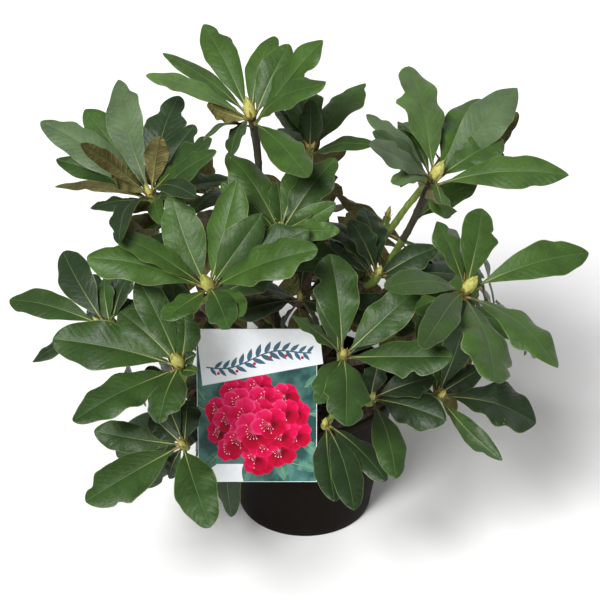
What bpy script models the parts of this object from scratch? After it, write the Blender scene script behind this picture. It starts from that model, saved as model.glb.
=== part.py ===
"""A young rhododendron bush in a black nursery pot, with a plain picture card on a tongue in the soil.

The bush stands on a short trunk that forks just above the soil. Its boughs end in
knuckles, and from each knuckle several shoots rise, every one ending in a bud and a
whorl of leathery leaves. The leaves that face the front are set one by one by their
bearing and length; the rest follow a seeded rule that fills the open sides.
Lengths in the tables are millimetres, and angles are degrees.
"""

import math
import random
from dataclasses import dataclass

import bmesh
import bpy
from mathutils import Matrix, Quaternion, Vector
from mathutils.bvhtree import BVHTree

MM = 0.001

# Pot
RIM_RADIUS = 95 * MM
BASE_RADIUS = 69 * MM
POT_HEIGHT = 150 * MM
POT_WALL = 2.2 * MM
POT_FLOOR = 3 * MM
LIP_HEIGHT = 10 * MM
LIP_WIDTH = 3.2 * MM
POT_STEPS = 32

# Soil
SOIL_TOP = 135 * MM
SOIL_SAG = 3 * MM
GAP = 0.3 * MM

# Trunk
TRUNK_FOOT = Vector((4, 4, 135.3)) * MM
TRUNK_BEND = Vector((0, 0, 168)) * MM
TRUNK_FORK = Vector((-3, 2, 204)) * MM
FLARE_RADIUS = 15.5 * MM
TRUNK_RADIUS = 11 * MM
FORK_RADIUS = 8.6 * MM

# Limbs
BOUGH_RADIUS = 6 * MM
BOUGH_TIP_RADIUS = 4.9 * MM
KNUCKLE_RADIUS = 6.8 * MM
SHOOT_START = 7.4 * MM
SHOOT_START_RADIUS = 3.2 * MM
SHOOT_RADIUS = 4.2 * MM
SPREAD_ANGLE = 62
BOUGH_STEPS = 6
SHOOT_STEPS = 4
BUD_STEPS = 2

# Buds
BUD_LENGTH = 22 * MM
BUD_RADIUS = 5.6 * MM
SLIM_BUD_LENGTH = 13 * MM
SLIM_BUD_RADIUS = 2.6 * MM

# Leaves
LEAF_LENGTH = 122
LEAF_LENGTH_MOST = 134
LEAF_RATIO = 0.35
LEAF_THICKNESS = 1.4 * MM
PETIOLE_SHARE = 0.12
PETIOLE_HALF_WIDTH = 1.5 * MM
WHORL_DEPTH = 13 * MM
OLD_LEAF_SHARE = (0.35, 0.62)
OLD_STEM_LENGTH = 105 * MM
GOLDEN_ANGLE = 137.508
STATIONS = (0.0, PETIOLE_SHARE, 0.49, 0.82, 1.0)
CLEARANCE = 0.7 * MM
SEED = 41

# The front of the bush is described as seen from the front and from above.
LOOK_DOWN = math.radians(32)
RIGHT = Vector((1, 0, 0))
UP = Vector((0, math.sin(LOOK_DOWN), math.cos(LOOK_DOWN)))
TOWARD = Vector((0, -math.cos(LOOK_DOWN), math.sin(LOOK_DOWN)))
VIEW_CENTRE = Vector((-5, 0, 246)) * MM
VIEW_DISTANCE = 2.0

# Card and its tongue
CARD_WIDTH = 117 * MM
CARD_HEIGHT = 162 * MM
CARD_THICKNESS = 1.0 * MM
CARD_LEAN = math.radians(12)
CARD_CENTRE = Vector((-47, -93, 181.5)) * MM
BANNER_OVERHANG = 6 * MM
BANNER_SLANT = 4 * MM
BANNER_DROP = 36 * MM
TONGUE_WIDTH = 16 * MM
TONGUE_THICKNESS = 1.4 * MM
TONGUE_OFFSET = 16 * MM
TONGUE_PAD = 34 * MM
TONGUE_ENTRY = Vector((0, -66, 135)) * MM
TONGUE_END = Vector((0, -53.5, 112)) * MM

# Where each bough leaves the trunk, the points that it passes and its tip
BOUGHS = {
    "upper_left": (186, ((-25, -2, 216),), (-40, 1, 262)),
    "left": (168, ((-44, -14, 203),), (-94, -30, 248)),
    "front_left": (151, ((-52, -34, 168),), (-104, -72, 188)),
    "front_right": (151, ((23, -42, 178),), (46, -84, 202)),
    "right": (167, ((48, -28, 192),), (98, -62, 226)),
    "upper_right": (188, ((27, 1, 220),), (55, 3, 264)),
    "back_right": (160, ((34, 38, 178),), (70, 78, 194)),
    "back_left": (157, ((-32, 40, 176),), (-68, 80, 192)),
    "middle": (205, ((0, 12, 238),), (4, 38, 282)),
}


@dataclass(frozen=True)
class Shoot:
    """One shoot: where its whorl sits, what carries it, and its leaves.

    A leaf is its clock angle as seen from the front, its seen reach and its width,
    then its roll about its own length and, where it is known, how far it comes
    toward the front.
    """

    bough: str
    centre: tuple
    leaves: tuple = ()
    fill: int = 2
    old: int = 1
    full_bud: bool = True
    radius: float = SHOOT_RADIUS
    via: tuple = ()


SHOOTS = {
    "centre_right": Shoot("front_right", (34, -195, 309), ((97, 92, 42), (42.6, 93, 36), (-1.5, 99, 38),
        (143, 58, 20, 30), (241, 46, 28), (-88, 63, 40, 0, 40)), 2, full_bud=False),
    "low_left": Shoot("front_left", (-114, -185, 202), ((-72, 80, 41), (210, 105, 50), (171, 84, 30, -12),
        (137, 41, 26), (84, 42, 30), (246, 34, 18, 0, -20)), 3, full_bud=False, via=((-119, -116, 184),)),
    "left": Shoot("front_left", (-115, -170, 282), ((248.5, 55, 38, 0, 40), (169, 119, 50),
        (206, 110, 46), (138.5, 74, 38), (84, 46, 30, 40), (34, 17, 15), (-20, 15, 14)),
        2, via=((-124, -128, 212),)),
    "low_centre": Shoot("front_right", (62, -165, 241), ((-17, 72, 40), (-73, 77, 30), (19.5, 61, 30),
        (131, 39, 18), (80, 34, 22)), 3, full_bud=False),
    "centre_left": Shoot("left", (-87, -155, 356), ((112, 94, 38), (76.5, 101, 40), (54.5, 82, 34, 40),
        (21, 102, 42), (149, 100, 28, 15), (164, 114, 37), (215, 50, 30), (-65, 43, 30), (-40, 40, 28)),
        1, via=((-100, -92, 300),)),
    "low_right": Shoot("right", (127, -150, 233), ((-13.5, 93, 50), (-47, 82, 20, 60), (35, 47, 25),
        (170, 34, 22), (90, 60, 34)), 3, full_bud=False),
    "pot_front": Shoot("front_right", (19, -130, 186), ((-83, 73, 30), (-71.5, 88, 30), (-42, 79, 28)),
        2, full_bud=False),
    "right": Shoot("right", (149, -120, 332), ((78.5, 77, 36), (17.5, 119, 37), (113, 69, 30),
        (-37, 108, 40), (-70.5, 86, 50), (233, 64, 30), (179, 39, 16), (178, 77, 28),
        (200, 52, 26, 0, -20)), 1),
    "behind_card": Shoot("front_left", (-77, -72, 168), ((-90, 113, 30, 0, -8), (203, 58, 28),
        (226, 62, 30), (158, 48, 26), (104, 86, 32, 0, -20), (64, 92, 30, 0, -24),
        (142, 52, 28, 0, -40), (238, 66, 30, 0, -40)), 1, full_bud=False),
    "upper_centre": Shoot("upper_left", (-23, -95, 381), ((123, 88, 35), (95, 45, 24, 35), (54, 84, 38),
        (26, 56, 24, 60), (27, 33, 16, 60), (0, 55, 20, 50), (139, 70, 30)), 3, full_bud=False),
    "far_left": Shoot("left", (-199, -60, 255), ((163, 94, 32), (117, 80, 36), (208, 75, 30),
        (62, 58, 28, 0, -20), (30, 52, 26, 0, -24), (88, 48, 24, 0, -30)), 3, full_bud=False),
    "inner_right": Shoot("upper_right", (70, -50, 306), ((101, 66, 32), (118, 60, 28), (145, 57, 28),
        (-20, 42, 26, 0, -40), (132, 70, 28), (27, 64, 32, 0, -40)), 3, full_bud=False),
    "upper_left": Shoot("left", (-147, -30, 383), ((105.5, 113, 37), (128, 101, 34), (145, 132, 36),
        (144, 84, 17, 60, 45), (159, 96, 28), (174, 91, 20, 65), (148, 45, 22, 130, 30),
        (81, 55, 23, 270, 45), (76, 99, 36, 20), (41, 79, 34, 25), (60, 78, 34, 25), (35, 73, 26, 25),
        (-5, 45, 22), (190, 58, 26), (230, 52, 26), (-75, 24, 16)), 2, full_bud=False),
    "inner": Shoot("upper_left", (-5, -40, 271), ((165, 70, 30), (190, 66, 30), (30, 70, 30),
        (245, 50, 32, 0, -42), (300, 46, 30, 0, -42), (-20, 50, 26), (272, 42, 26, 0, -48)), 5,
        full_bud=False),
    "upper_right": Shoot("upper_right", (121, -40, 406), ((102, 108, 52), (47.6, 118, 40),
        (1, 127, 38, 25), (134, 85, 26, -25), (140, 70, 30, -10), (152, 77, 26, -25), (181, 36, 20),
        (190, 32, 18, 40), (-68, 38, 22, 160), (-75, 40, 22), (31, 76, 34), (64, 84, 38, 0, -40),
        (122, 63, 22, 0, -30)),
        3, radius=4.7 * MM, via=((74, -6, 284), (96, -20, 330))),
    "top": Shoot("upper_left", (-51, 0, 450), ((116.5, 101, 30), (75, 80, 30), (63, 78, 30, 40),
        (47, 99, 38, 20), (28, 72, 29, 40), (-45, 76, 33), (144.5, 103, 22), (157, 107, 22, -15),
        (166, 44, 22, 140), (195, 47, 14), (243, 44, 17)), 3, via=((-43, 0, 300),)),
    "upper_right_back": Shoot("upper_right", (133, 20, 394), ((58, 70, 32), (29, 84, 32, 170),
        (137, 53, 28), (5, 60, 30)), 4, full_bud=False, radius=4.4 * MM, via=((92, 12, 334),)),
    "top_right": Shoot("middle", (4, 50, 391), ((49, 84, 44), (88, 46, 24, 180, 35), (10, 60, 20, 40),
        (147, 36, 24), (155, 41, 24), (95, 69, 30), (107, 85, 32), (128, 54, 22)), 4),
    "right_side": Shoot("right", (196, -8, 222), (), 8, 2),
    "left_side": Shoot("back_left", (-196, 34, 196), (), 8, 2, full_bud=False),
    "back_middle": Shoot("middle", (-4, 138, 296), (), 9, 2),
    "back_upper_left": Shoot("middle", (-92, 118, 300), (), 9, 2),
    "back_upper_right": Shoot("middle", (86, 118, 274), (), 9, 2, full_bud=False),
    "back_left": Shoot("back_left", (-156, 118, 246), (), 9, 2, full_bud=False),
    "back_right": Shoot("back_right", (142, 116, 224), (), 9, 2),
    "back_low_left": Shoot("back_left", (-92, 186, 204), (), 9, 2),
    "back_low_right": Shoot("back_right", (118, 178, 192), (), 9, 2, full_bud=False),
    "back_low": Shoot("back_right", (12, 212, 218), (), 9, 2),
    "inner_back": Shoot("back_left", (-6, 112, 206), (), 9, 1, full_bud=False),
}

# The card's face, as seen from the front, stays clear of the leaves that the rule adds.
CARD_VIEW = (-108, -192, 22, -24)

# Parts of the view from the front that stay open, as left, bottom, right and top
# in millimetres from the middle of the view.
OPEN_VIEW = (
    (-300, 38, -184, 105), (-116, 106, -72, 200), (-35, 120, 0, 170), (45, 96, 122, 215),
    (120, 65, 145, 95), (198, 52, 300, 110), (-300, -300, -240, 40), (246, -300, 300, 110),
    (-215, -300, -128, -206), (105, -300, 300, -180), (-300, 150, 300, 300), (205, 0, 300, 38),
    (-300, -300, 300, -238), (66, 45, 150, 108), (150, -180, 240, -128), (197, -130, 300, -60),
    (-232, -104, -180, -68), (-10, -222, 45, -196), (188, 5, 204, 95),
)

# Where the front leaves of the high shoots hide what stands behind them
HIDDEN_VIEW = (
    (-225, 85, -100, 195), (-95, 165, 5, 245), (-25, 140, 45, 205), (105, 114, 215, 205),
)

# Colour and roughness of each kind of part
LEAF_LOOK = ((0.052, 0.115, 0.036, 1), 0.45)
BARK_LOOK = ((0.075, 0.050, 0.034, 1), 0.85)
POT_LOOK = ((0.012, 0.009, 0.008, 1), 0.45)
SOIL_LOOK = ((0.030, 0.019, 0.012, 1), 0.95)
CARD_LOOK = ((0.80, 0.80, 0.78, 1), 0.4)
TONGUE_LOOK = ((0.72, 0.71, 0.67, 1), 0.45)


def clear_scene():
    for obj in list(bpy.data.objects):
        bpy.data.objects.remove(obj, do_unlink=True)


def new_collection(name):
    collection = bpy.data.collections.new(name)
    bpy.context.scene.collection.children.link(collection)
    return collection


def new_material(name, colour, roughness):
    material = bpy.data.materials.new(name)
    material.use_nodes = True
    shader = material.node_tree.nodes["Principled BSDF"]
    shader.inputs["Base Color"].default_value = colour
    shader.inputs["Roughness"].default_value = roughness
    shader.inputs["Metallic"].default_value = 0.0
    material.diffuse_color = colour
    return material


def unit(angle):
    return math.cos(math.radians(angle)), math.sin(math.radians(angle))


def smooth_path(points, steps, first=None, last=None):
    """Points read from a smooth curve through the given ones, about evenly spaced."""
    count = len(points)
    ways = [(points[i + 1] - points[i]).normalized() for i in range(count - 1)]
    ways = [first or ways[0]] + [(a + b).normalized() for a, b in zip(ways, ways[1:])] + [last or ways[-1]]
    lengths = [(points[i + 1] - points[i]).length for i in range(count - 1)]
    path = [points[0].copy()]
    for k, length in enumerate(lengths):
        pieces = max(1, round(steps * length / sum(lengths)))
        a, d = points[k], points[k + 1]
        b, c = a + ways[k] * (length / 3), d - ways[k + 1] * (length / 3)
        for i in range(1, pieces + 1):
            t = i / pieces
            near_start = a * (1 - t) ** 3 + b * (3 * t * (1 - t) ** 2)
            path.append(near_start + c * (3 * t * t * (1 - t)) + d * t ** 3)
    return path


@dataclass
class Limb:
    """A tapering limb: its axis and its radius at each point of it."""

    points: list
    radii: list

    def tree(self, sides=6):
        """A search tree of the limb's surface."""
        verts, faces = [], []
        for i, point in enumerate(self.points):
            ahead = self.points[min(i + 1, len(self.points) - 1)]
            along = (ahead - self.points[max(i - 1, 0)]).normalized()
            side = along.orthogonal().normalized()
            across = along.cross(side)
            for k in range(sides):
                c, s = unit(360 * k / sides)
                verts.append(point + (side * c + across * s) * self.radii[i])
        for i in range(len(self.points) - 1):
            for k in range(sides):
                a, b = i * sides + k, i * sides + (k + 1) % sides
                faces.append((a, b, b + sides, a + sides))
        return Placed(verts, faces)

    def curve(self, name, resolution):
        """The limb as a curve object with filled caps, made a mesh with its caps welded."""
        data = bpy.data.curves.new(name, "CURVE")
        data.dimensions = "3D"
        data.bevel_depth = 1.0
        data.bevel_resolution = resolution
        data.use_fill_caps = True
        spline = data.splines.new("POLY")
        spline.points.add(len(self.points) - 1)
        for place, point, radius in zip(spline.points, self.points, self.radii):
            place.co = (*point, 1)
            place.radius = radius
        curve = bpy.data.objects.new(name, data)
        bpy.context.scene.collection.objects.link(curve)
        bpy.context.view_layer.update()
        return as_mesh(curve)


class Placed:
    """A surface that leaves keep clear of."""

    def __init__(self, verts, faces):
        self.low = Vector(min(v[i] for v in verts) for i in range(3))
        self.high = Vector(max(v[i] for v in verts) for i in range(3))
        self.tree = BVHTree.FromPolygons(verts, faces)

    def meets(self, other):
        for i in range(3):
            if self.low[i] > other.high[i] or other.low[i] > self.high[i]:
                return False
        return bool(self.tree.overlap(other.tree))


@dataclass
class Leaf:
    """One leaf, from its root in the shoot to its tip."""

    root: Vector
    tip: Vector
    normal: Vector
    width: float
    arch: float
    fold: float

    def half_width(self, u):
        if u <= PETIOLE_SHARE:
            return PETIOLE_HALF_WIDTH
        t = (u - PETIOLE_SHARE) / (1 - PETIOLE_SHARE)
        if t < 0.55:
            share = math.sin(math.pi / 2 * t / 0.55) ** 1.1
        else:
            share = max(0.0, math.cos(math.pi / 2 * (t - 0.55) / 0.45)) ** 0.65
        return max(PETIOLE_HALF_WIDTH, self.width / 2 * share) if u < 1 else 0.0

    def rings(self, stations, grow=0.0):
        """Corner rings of the blade: left edge, midrib above, right edge, midrib below."""
        chord = self.tip - self.root
        along = chord.normalized()
        side = self.normal.cross(along).normalized()
        above = along.cross(side)
        rings = []
        for u in stations:
            middle = self.root + chord * u + above * (self.arch * chord.length * 4 * u * (1 - u))
            half = self.half_width(u) + grow
            lift = math.tan(self.fold) * half if u > PETIOLE_SHARE else 0.0
            thick = LEAF_THICKNESS / 2 + grow if u > PETIOLE_SHARE else PETIOLE_HALF_WIDTH * 0.8
            rings.append((middle - side * half + above * lift, middle + above * thick,
                          middle + side * half + above * lift, middle - above * thick))
        return rings

    def shape(self, stations=STATIONS, grow=0.0):
        """Corners and faces of the closed blade."""
        rings = self.rings(stations, grow)
        verts = [corner for ring in rings[:-1] for corner in ring]
        verts.append(self.tip.copy())
        faces = [(3, 2, 1, 0)]
        for i in range(len(rings) - 2):
            for k in range(4):
                a, b = 4 * i + k, 4 * i + (k + 1) % 4
                faces.append((a, b, b + 4, a + 4))
        last = 4 * (len(rings) - 2)
        for k in range(4):
            faces.append((last + k, last + (k + 1) % 4, len(verts) - 1))
        return verts, faces


def as_mesh(obj):
    """A mesh object in place of a curve, with its caps welded on."""
    graph = bpy.context.evaluated_depsgraph_get()
    data = bpy.data.meshes.new_from_object(obj.evaluated_get(graph))
    edit = bmesh.new()
    edit.from_mesh(data)
    bmesh.ops.remove_doubles(edit, verts=edit.verts, dist=1e-6)
    bmesh.ops.recalc_face_normals(edit, faces=edit.faces)
    edit.to_mesh(data)
    edit.free()
    name = obj.name
    mesh = bpy.data.objects.new(name + "_mesh", data)
    mesh.matrix_world = obj.matrix_world.copy()
    bpy.data.objects.remove(obj, do_unlink=True)
    mesh.name = name
    data.name = name
    return mesh


def finish(obj, collection, look, smooth=True):
    """Puts a part in its collection with a material of its own."""
    collection.objects.link(obj)
    obj.data.materials.clear()
    obj.data.materials.append(new_material(obj.name, *look))
    for face in obj.data.polygons:
        face.use_smooth = smooth
    return obj


def apply_boolean(obj, operation, other=None, group=None):
    modifier = obj.modifiers.new(operation.title(), "BOOLEAN")
    modifier.operation = operation
    modifier.solver = "EXACT"
    if group:
        modifier.operand_type = "COLLECTION"
        modifier.collection = group
    else:
        modifier.object = other
    bpy.context.view_layer.update()
    graph = bpy.context.evaluated_depsgraph_get()
    data = bpy.data.meshes.new_from_object(obj.evaluated_get(graph))
    obj.modifiers.remove(modifier)
    obj.data = data
    data.name = obj.name


def trunk_limb():
    """The trunk's axis and radii, from the flat cut at the soil to the fork."""
    points = smooth_path([TRUNK_FOOT, TRUNK_BEND, TRUNK_FORK], 8, first=Vector((0, 0, 1)))
    radii = []
    for point in points:
        t = (point.z - TRUNK_FOOT.z) / (TRUNK_FORK.z - TRUNK_FOOT.z)
        flare = (FLARE_RADIUS - TRUNK_RADIUS) * math.exp(-t / 0.12)
        radii.append(TRUNK_RADIUS + (FORK_RADIUS - TRUNK_RADIUS) * t + flare)
    return Limb(points, radii)


def bough_limb(trunk, height, passed, tip):
    """A bough from inside the trunk to the knuckle that its shoots rise from."""
    start = min(trunk.points, key=lambda p: abs(p.z - height * MM)).copy()
    start.z = height * MM
    controls = [start] + [Vector(p) * MM for p in passed] + [Vector(tip) * MM]
    points = smooth_path(controls, BOUGH_STEPS)
    last = points.pop()
    along = (last - points[-1]).normalized()
    radii = []
    for i in range(len(points)):
        radii.append(BOUGH_RADIUS + (BOUGH_TIP_RADIUS - BOUGH_RADIUS) * i / len(points))
    for share, across in ((-0.6, 0.8), (0, 1), (0.6, 0.8), (0.95, 0.31)):
        points.append(last + along * (share * KNUCKLE_RADIUS))
        radii.append(across * KNUCKLE_RADIUS)
    return Limb(points, radii)


def spread(directions, inward):
    """The directions pushed apart on a sphere, and away from the limb that they rise from."""
    found = [d.normalized() for d in directions]
    for _ in range(60):
        for i, one in enumerate(found):
            push = Vector()
            for k, other in enumerate(found + [inward]):
                angle = math.degrees(one.angle(other)) if k != i else 180
                room = SPREAD_ANGLE + (20 if k == len(found) else 0)
                if angle < room:
                    push += (one - other).normalized() * (room - angle) * 0.01
            found[i] = (one + push).normalized()
    return found


def shoot_axis(centre):
    """A shoot points up and leans outward, the more so the further out it stands."""
    out = Vector((centre.x, centre.y, 0))
    lean = math.radians(6 + 130 * out.length)
    return (out.normalized() * math.sin(lean) + Vector((0, 0, 1)) * math.cos(lean)).normalized()


def shoot_limb(shoot, base, direction):
    """A shoot's stem from its knuckle, with the bud on its end."""
    centre = Vector(shoot.centre) * MM
    axis = shoot_axis(centre)
    controls = [base + direction * SHOOT_START] + [Vector(p) * MM for p in shoot.via] + [centre]
    points = smooth_path(controls, SHOOT_STEPS, first=direction, last=axis)
    radii = [shoot.radius] * len(points)
    radii[0] = SHOOT_START_RADIUS
    length, radius = (BUD_LENGTH, BUD_RADIUS) if shoot.full_bud else (SLIM_BUD_LENGTH, SLIM_BUD_RADIUS)
    radii[-1] = 0.85 * shoot.radius
    for share, across in ((0.45, 1.0), (1.0, 0.12)):
        points.append(centre + axis * (length * share))
        radii.append(radius * across)
    return Limb(points, radii)


def seen(point):
    """Where a point shows from the front, in millimetres from the middle of the view."""
    offset = point - VIEW_CENTRE
    scale = VIEW_DISTANCE / (VIEW_DISTANCE - offset.dot(TOWARD)) / MM
    return offset.dot(RIGHT) * scale, offset.dot(UP) * scale


def within(point, box):
    x, y = seen(point)
    left, low, right, high = box
    return left < x < right and low < y < high


def in_the_way(root, tip):
    """Whether a leaf would close an open part of the view or stand before the card."""
    front = card_place().to_3x3() @ Vector((0, -1, 0))
    for share in (0.4, 0.6, 0.8, 1.0):
        point = root + (tip - root) * share
        hidden = any(within(point, box) for box in HIDDEN_VIEW)
        if share > 0.5 and not hidden and any(within(point, box) for box in OPEN_VIEW):
            return True
        if within(point, CARD_VIEW) and (point - CARD_CENTRE).dot(front) > 0:
            return True
    return False


def cone_of(centre):
    """Leaves stand up more on the high shoots than on the low ones."""
    return 78 - 80 * (centre.z - 0.2)


def leaf_toward(shoot, spec, turn, nudge, shrink):
    """Tip and normal of a leaf that is given by how it looks from the front."""
    clock, reach, width = spec[:3]
    roll = spec[3] if len(spec) > 3 else 0
    centre = Vector(shoot.centre) * MM
    axis = shoot_axis(centre)
    c, s = unit(clock + turn)
    flat = RIGHT * c + UP * s
    most = max(LEAF_LENGTH_MOST, reach * 1.03)
    limit = math.acos(min(1.0, reach / most))
    if len(spec) > 4:
        tilt = math.radians(spec[4])
    else:
        p, q = flat.dot(axis), TOWARD.dot(axis)
        size = math.hypot(p, q)
        swing = math.acos(max(-1.0, min(1.0, math.cos(math.radians(cone_of(centre))) / size)))
        middle = math.atan2(q, p)
        options = [(middle + swing + math.pi) % (2 * math.pi) - math.pi,
                   (middle - swing + math.pi) % (2 * math.pi) - math.pi]
        tilt = min(options, key=abs)
    tilt = max(-limit, min(limit, tilt))
    tilt = max(-1.25, min(1.25, tilt + math.radians(nudge)))
    offset = centre - VIEW_CENTRE
    away = VIEW_DISTANCE - offset.dot(TOWARD)
    nearer = reach * MM * math.tan(tilt)
    place = offset - TOWARD * offset.dot(TOWARD)
    chord = (place + flat * reach * MM) * (1 - nearer / away) - place + TOWARD * nearer
    direction = chord.normalized()
    length = min(chord.length / MM, most) * shrink
    normal = (axis - direction * axis.dot(direction)).normalized()
    normal = Quaternion(direction, math.radians(roll)) @ normal
    return centre + direction * (length * MM), normal, width * MM


def leaf_around(centre, axis, bearing, rise, length):
    """Tip, normal and width of a leaf that the seeded rule sets round a stem."""
    side = axis.orthogonal().normalized()
    out = Quaternion(axis, math.radians(bearing)) @ side
    direction = out * math.sin(math.radians(rise)) + axis * math.cos(math.radians(rise))
    upright = axis if axis.angle(direction) > 0.3 else out
    normal = (upright - direction * upright.dot(direction)).normalized()
    return centre + direction * length, normal, length * LEAF_RATIO


class Crown:
    """Sets every leaf of the bush clear of the limbs and of the other shoots' leaves."""

    def __init__(self, fixed, stems):
        self.fixed = fixed
        self.stems = stems
        self.leaves = {name: [] for name in SHOOTS}
        self.whole = {name: [] for name in SHOOTS}
        self.outer = {name: [] for name in SHOOTS}

    def clear(self, name, leaf):
        outer = Placed(*leaf.shape(STATIONS[2:], CLEARANCE))
        if any(outer.meets(other) for other in self.outer[name]):
            return None
        if outer.meets(self.fixed[name]):
            return None
        whole = Placed(*leaf.shape((0.06,) + STATIONS[1:], CLEARANCE))
        for other, thing in self.fixed.items():
            if other != name and whole.meets(thing):
                return None
        for other, things in self.whole.items():
            if other != name and any(whole.meets(thing) for thing in things):
                return None
        return whole, outer

    def place(self, name, root, tip, normal, width, shape):
        arch = shape.uniform(0.03, 0.09)
        fold = math.radians(shape.uniform(3, 17))
        leaf = Leaf(root, tip, normal, width, arch, fold)
        found = self.clear(name, leaf)
        if not found:
            return False
        self.leaves[name].append(leaf)
        self.whole[name].append(found[0])
        self.outer[name].append(found[1])
        return True

    def place_seen(self, name, number, spec):
        """The leaf is swung toward or away from the front, turned or shortened until it is clear."""
        low, high = self.whorl_stem(name)
        for shrink in (1.0, 0.88):
            for turn in (0, 5, -5, 10, -10):
                for nudge in (0, 7, -7, 14, -14, 21, -21, 28, -28, 36, -36):
                    tip, normal, width = leaf_toward(SHOOTS[name], spec, turn, nudge, shrink)
                    shape = random.Random(f"{SEED} {name} {number}")
                    root = high.lerp(low, shape.random())
                    if self.place(name, root, tip, normal, width, shape):
                        return

    def place_around(self, name, label, wanted, roots, cone, size):
        """Leaves by the golden angle, in the widest open sides round a stem."""
        draw = random.Random(f"{SEED} {name} {label}")
        low, high = roots
        axis = (high - low).normalized()
        start = draw.uniform(0, 360)
        made = 0
        for i in range(34):
            if made == wanted:
                break
            root = low.lerp(high, draw.random())
            rise = cone + draw.uniform(-8, 16) - (12 if i % 4 == 3 else 0)
            length = LEAF_LENGTH * MM * size * draw.uniform(0.72, 1.0) * (1 if i < 20 else 0.8)
            tip, normal, width = leaf_around(high, axis, start + GOLDEN_ANGLE * i, rise, length)
            before = SHOOTS[name].leaves and (tip - high).dot(TOWARD) > 0.1 * length
            if before or in_the_way(high, tip) or self.near(name, root, tip):
                continue
            if self.place(name, root, tip, normal, width, draw):
                made += 1

    def whorl_stem(self, name):
        """The ends of the stretch of stem below the bud that the whorl's leaves root in."""
        below, high = self.stems[name][-2:]
        return high + (below - high) * min(1.0, WHORL_DEPTH / (below - high).length), high

    def fill(self, name):
        """The open sides of the whorl, and older leaves lower down on a long stem."""
        shoot = SHOOTS[name]
        low, high = self.whorl_stem(name)
        self.place_around(name, "whorl", shoot.fill, (low, high), cone_of(high), 1.0)
        stem = self.stems[name]
        length = sum((b - a).length for a, b in zip(stem, stem[1:]))
        if length < OLD_STEM_LENGTH:
            return
        for share in OLD_LEAF_SHARE:
            at = share * (len(stem) - 1)
            k = int(at)
            point = stem[k].lerp(stem[k + 1], at - k)
            higher = point.lerp(stem[k + 1], 0.3)
            self.place_around(name, f"old {share}", shoot.old, (point, higher), 88, 0.86)

    def near(self, name, root, tip):
        """Whether a leaf with its root close by already takes much the same way."""
        for leaf in self.leaves[name]:
            close = (leaf.root - root).length < 2 * WHORL_DEPTH
            if close and (tip - root).angle(leaf.tip - leaf.root) < math.radians(21):
                return True
        return False

    def grow(self):
        for name in SHOOTS:
            for number, spec in enumerate(SHOOTS[name].leaves):
                self.place_seen(name, number, spec)
        for name in SHOOTS:
            self.fill(name)


def grow_limbs():
    """The trunk, the boughs and the shoots' stems."""
    trunk = trunk_limb()
    boughs = {name: bough_limb(trunk, *spec) for name, spec in BOUGHS.items()}
    shoots = {}
    for bough, limb in boughs.items():
        names = [name for name, shoot in SHOOTS.items() if shoot.bough == bough]
        base = Vector(BOUGHS[bough][2]) * MM
        inward = (limb.points[-6] - base).normalized()
        aims = []
        for name in names:
            first = (list(SHOOTS[name].via) + [SHOOTS[name].centre])[0]
            aims.append((Vector(first) * MM - base).normalized() + Vector((0, 0, 0.25)))
        for name, direction in zip(names, spread(aims, inward)):
            shoots[name] = shoot_limb(SHOOTS[name], base, direction)
    return trunk, boughs, shoots


def box_surface(width, depth, height, place):
    """A box that leaves keep clear of."""
    verts = []
    for x in (-0.5, 0.5):
        for y in (-0.5, 0.5):
            for z in (-0.5, 0.5):
                verts.append(place @ Vector((x * width, y * depth, z * height)))
    faces = [(0, 1, 3, 2), (4, 6, 7, 5), (0, 4, 5, 1), (2, 3, 7, 6), (0, 2, 6, 4), (1, 5, 7, 3)]
    return Placed(verts, faces)


def card_place():
    return Matrix.Translation(CARD_CENTRE) @ Matrix.Rotation(-CARD_LEAN, 4, "X")


def tongue_path():
    """The tongue's middle line, from the top of its pad behind the card down into the soil."""
    behind = CARD_THICKNESS / 2 + GAP + TONGUE_THICKNESS / 2
    place = card_place()
    x = TONGUE_OFFSET
    points = [place @ Vector((x, behind, TONGUE_PAD)), place @ Vector((x, behind, 0))]
    for end in (TONGUE_ENTRY, TONGUE_END):
        points.append(Vector((points[0].x, end.y, end.z)))
    return points


def build_trunk(trunk, collection):
    obj = trunk.curve("trunk", 2)
    for vert in obj.data.vertices:
        if (vert.co - TRUNK_FOOT).length < FLARE_RADIUS * 1.2 and vert.co.z < TRUNK_FOOT.z + 2 * MM:
            vert.co.z = TRUNK_FOOT.z
    return finish(obj, collection, BARK_LOOK)


def build_boughs(trunk, boughs, collection, cutters):
    points = [p.copy() for p in trunk.points]
    points[-1] += (points[-1] - points[-2]).normalized() * (1.3 * GAP)
    wider = Limb(points, [radius + 1.3 * GAP for radius in trunk.radii])
    cutter = wider.curve("trunk_clearance", 2)
    cutters.objects.link(cutter)
    cutter.hide_render = True
    cutter.display_type = "WIRE"
    for name, limb in boughs.items():
        obj = finish(limb.curve("bough_" + name, 2), collection, BARK_LOOK)
        apply_boolean(obj, "DIFFERENCE", other=cutter)
        keep_largest(obj)


def keep_largest(obj):
    """Drops the scraps that a cut or a union leaves loose."""
    edit = bmesh.new()
    edit.from_mesh(obj.data)
    left = set(edit.verts)
    bodies = []
    while left:
        body, front = set(), [left.pop()]
        while front:
            vert = front.pop()
            body.add(vert)
            for edge in vert.link_edges:
                other = edge.other_vert(vert)
                if other in left:
                    left.remove(other)
                    front.append(other)
        bodies.append(body)
    bodies.sort(key=len)
    for body in bodies[:-1]:
        bmesh.ops.delete(edit, geom=list(body), context="VERTS")
    edit.to_mesh(obj.data)
    edit.free()


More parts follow.
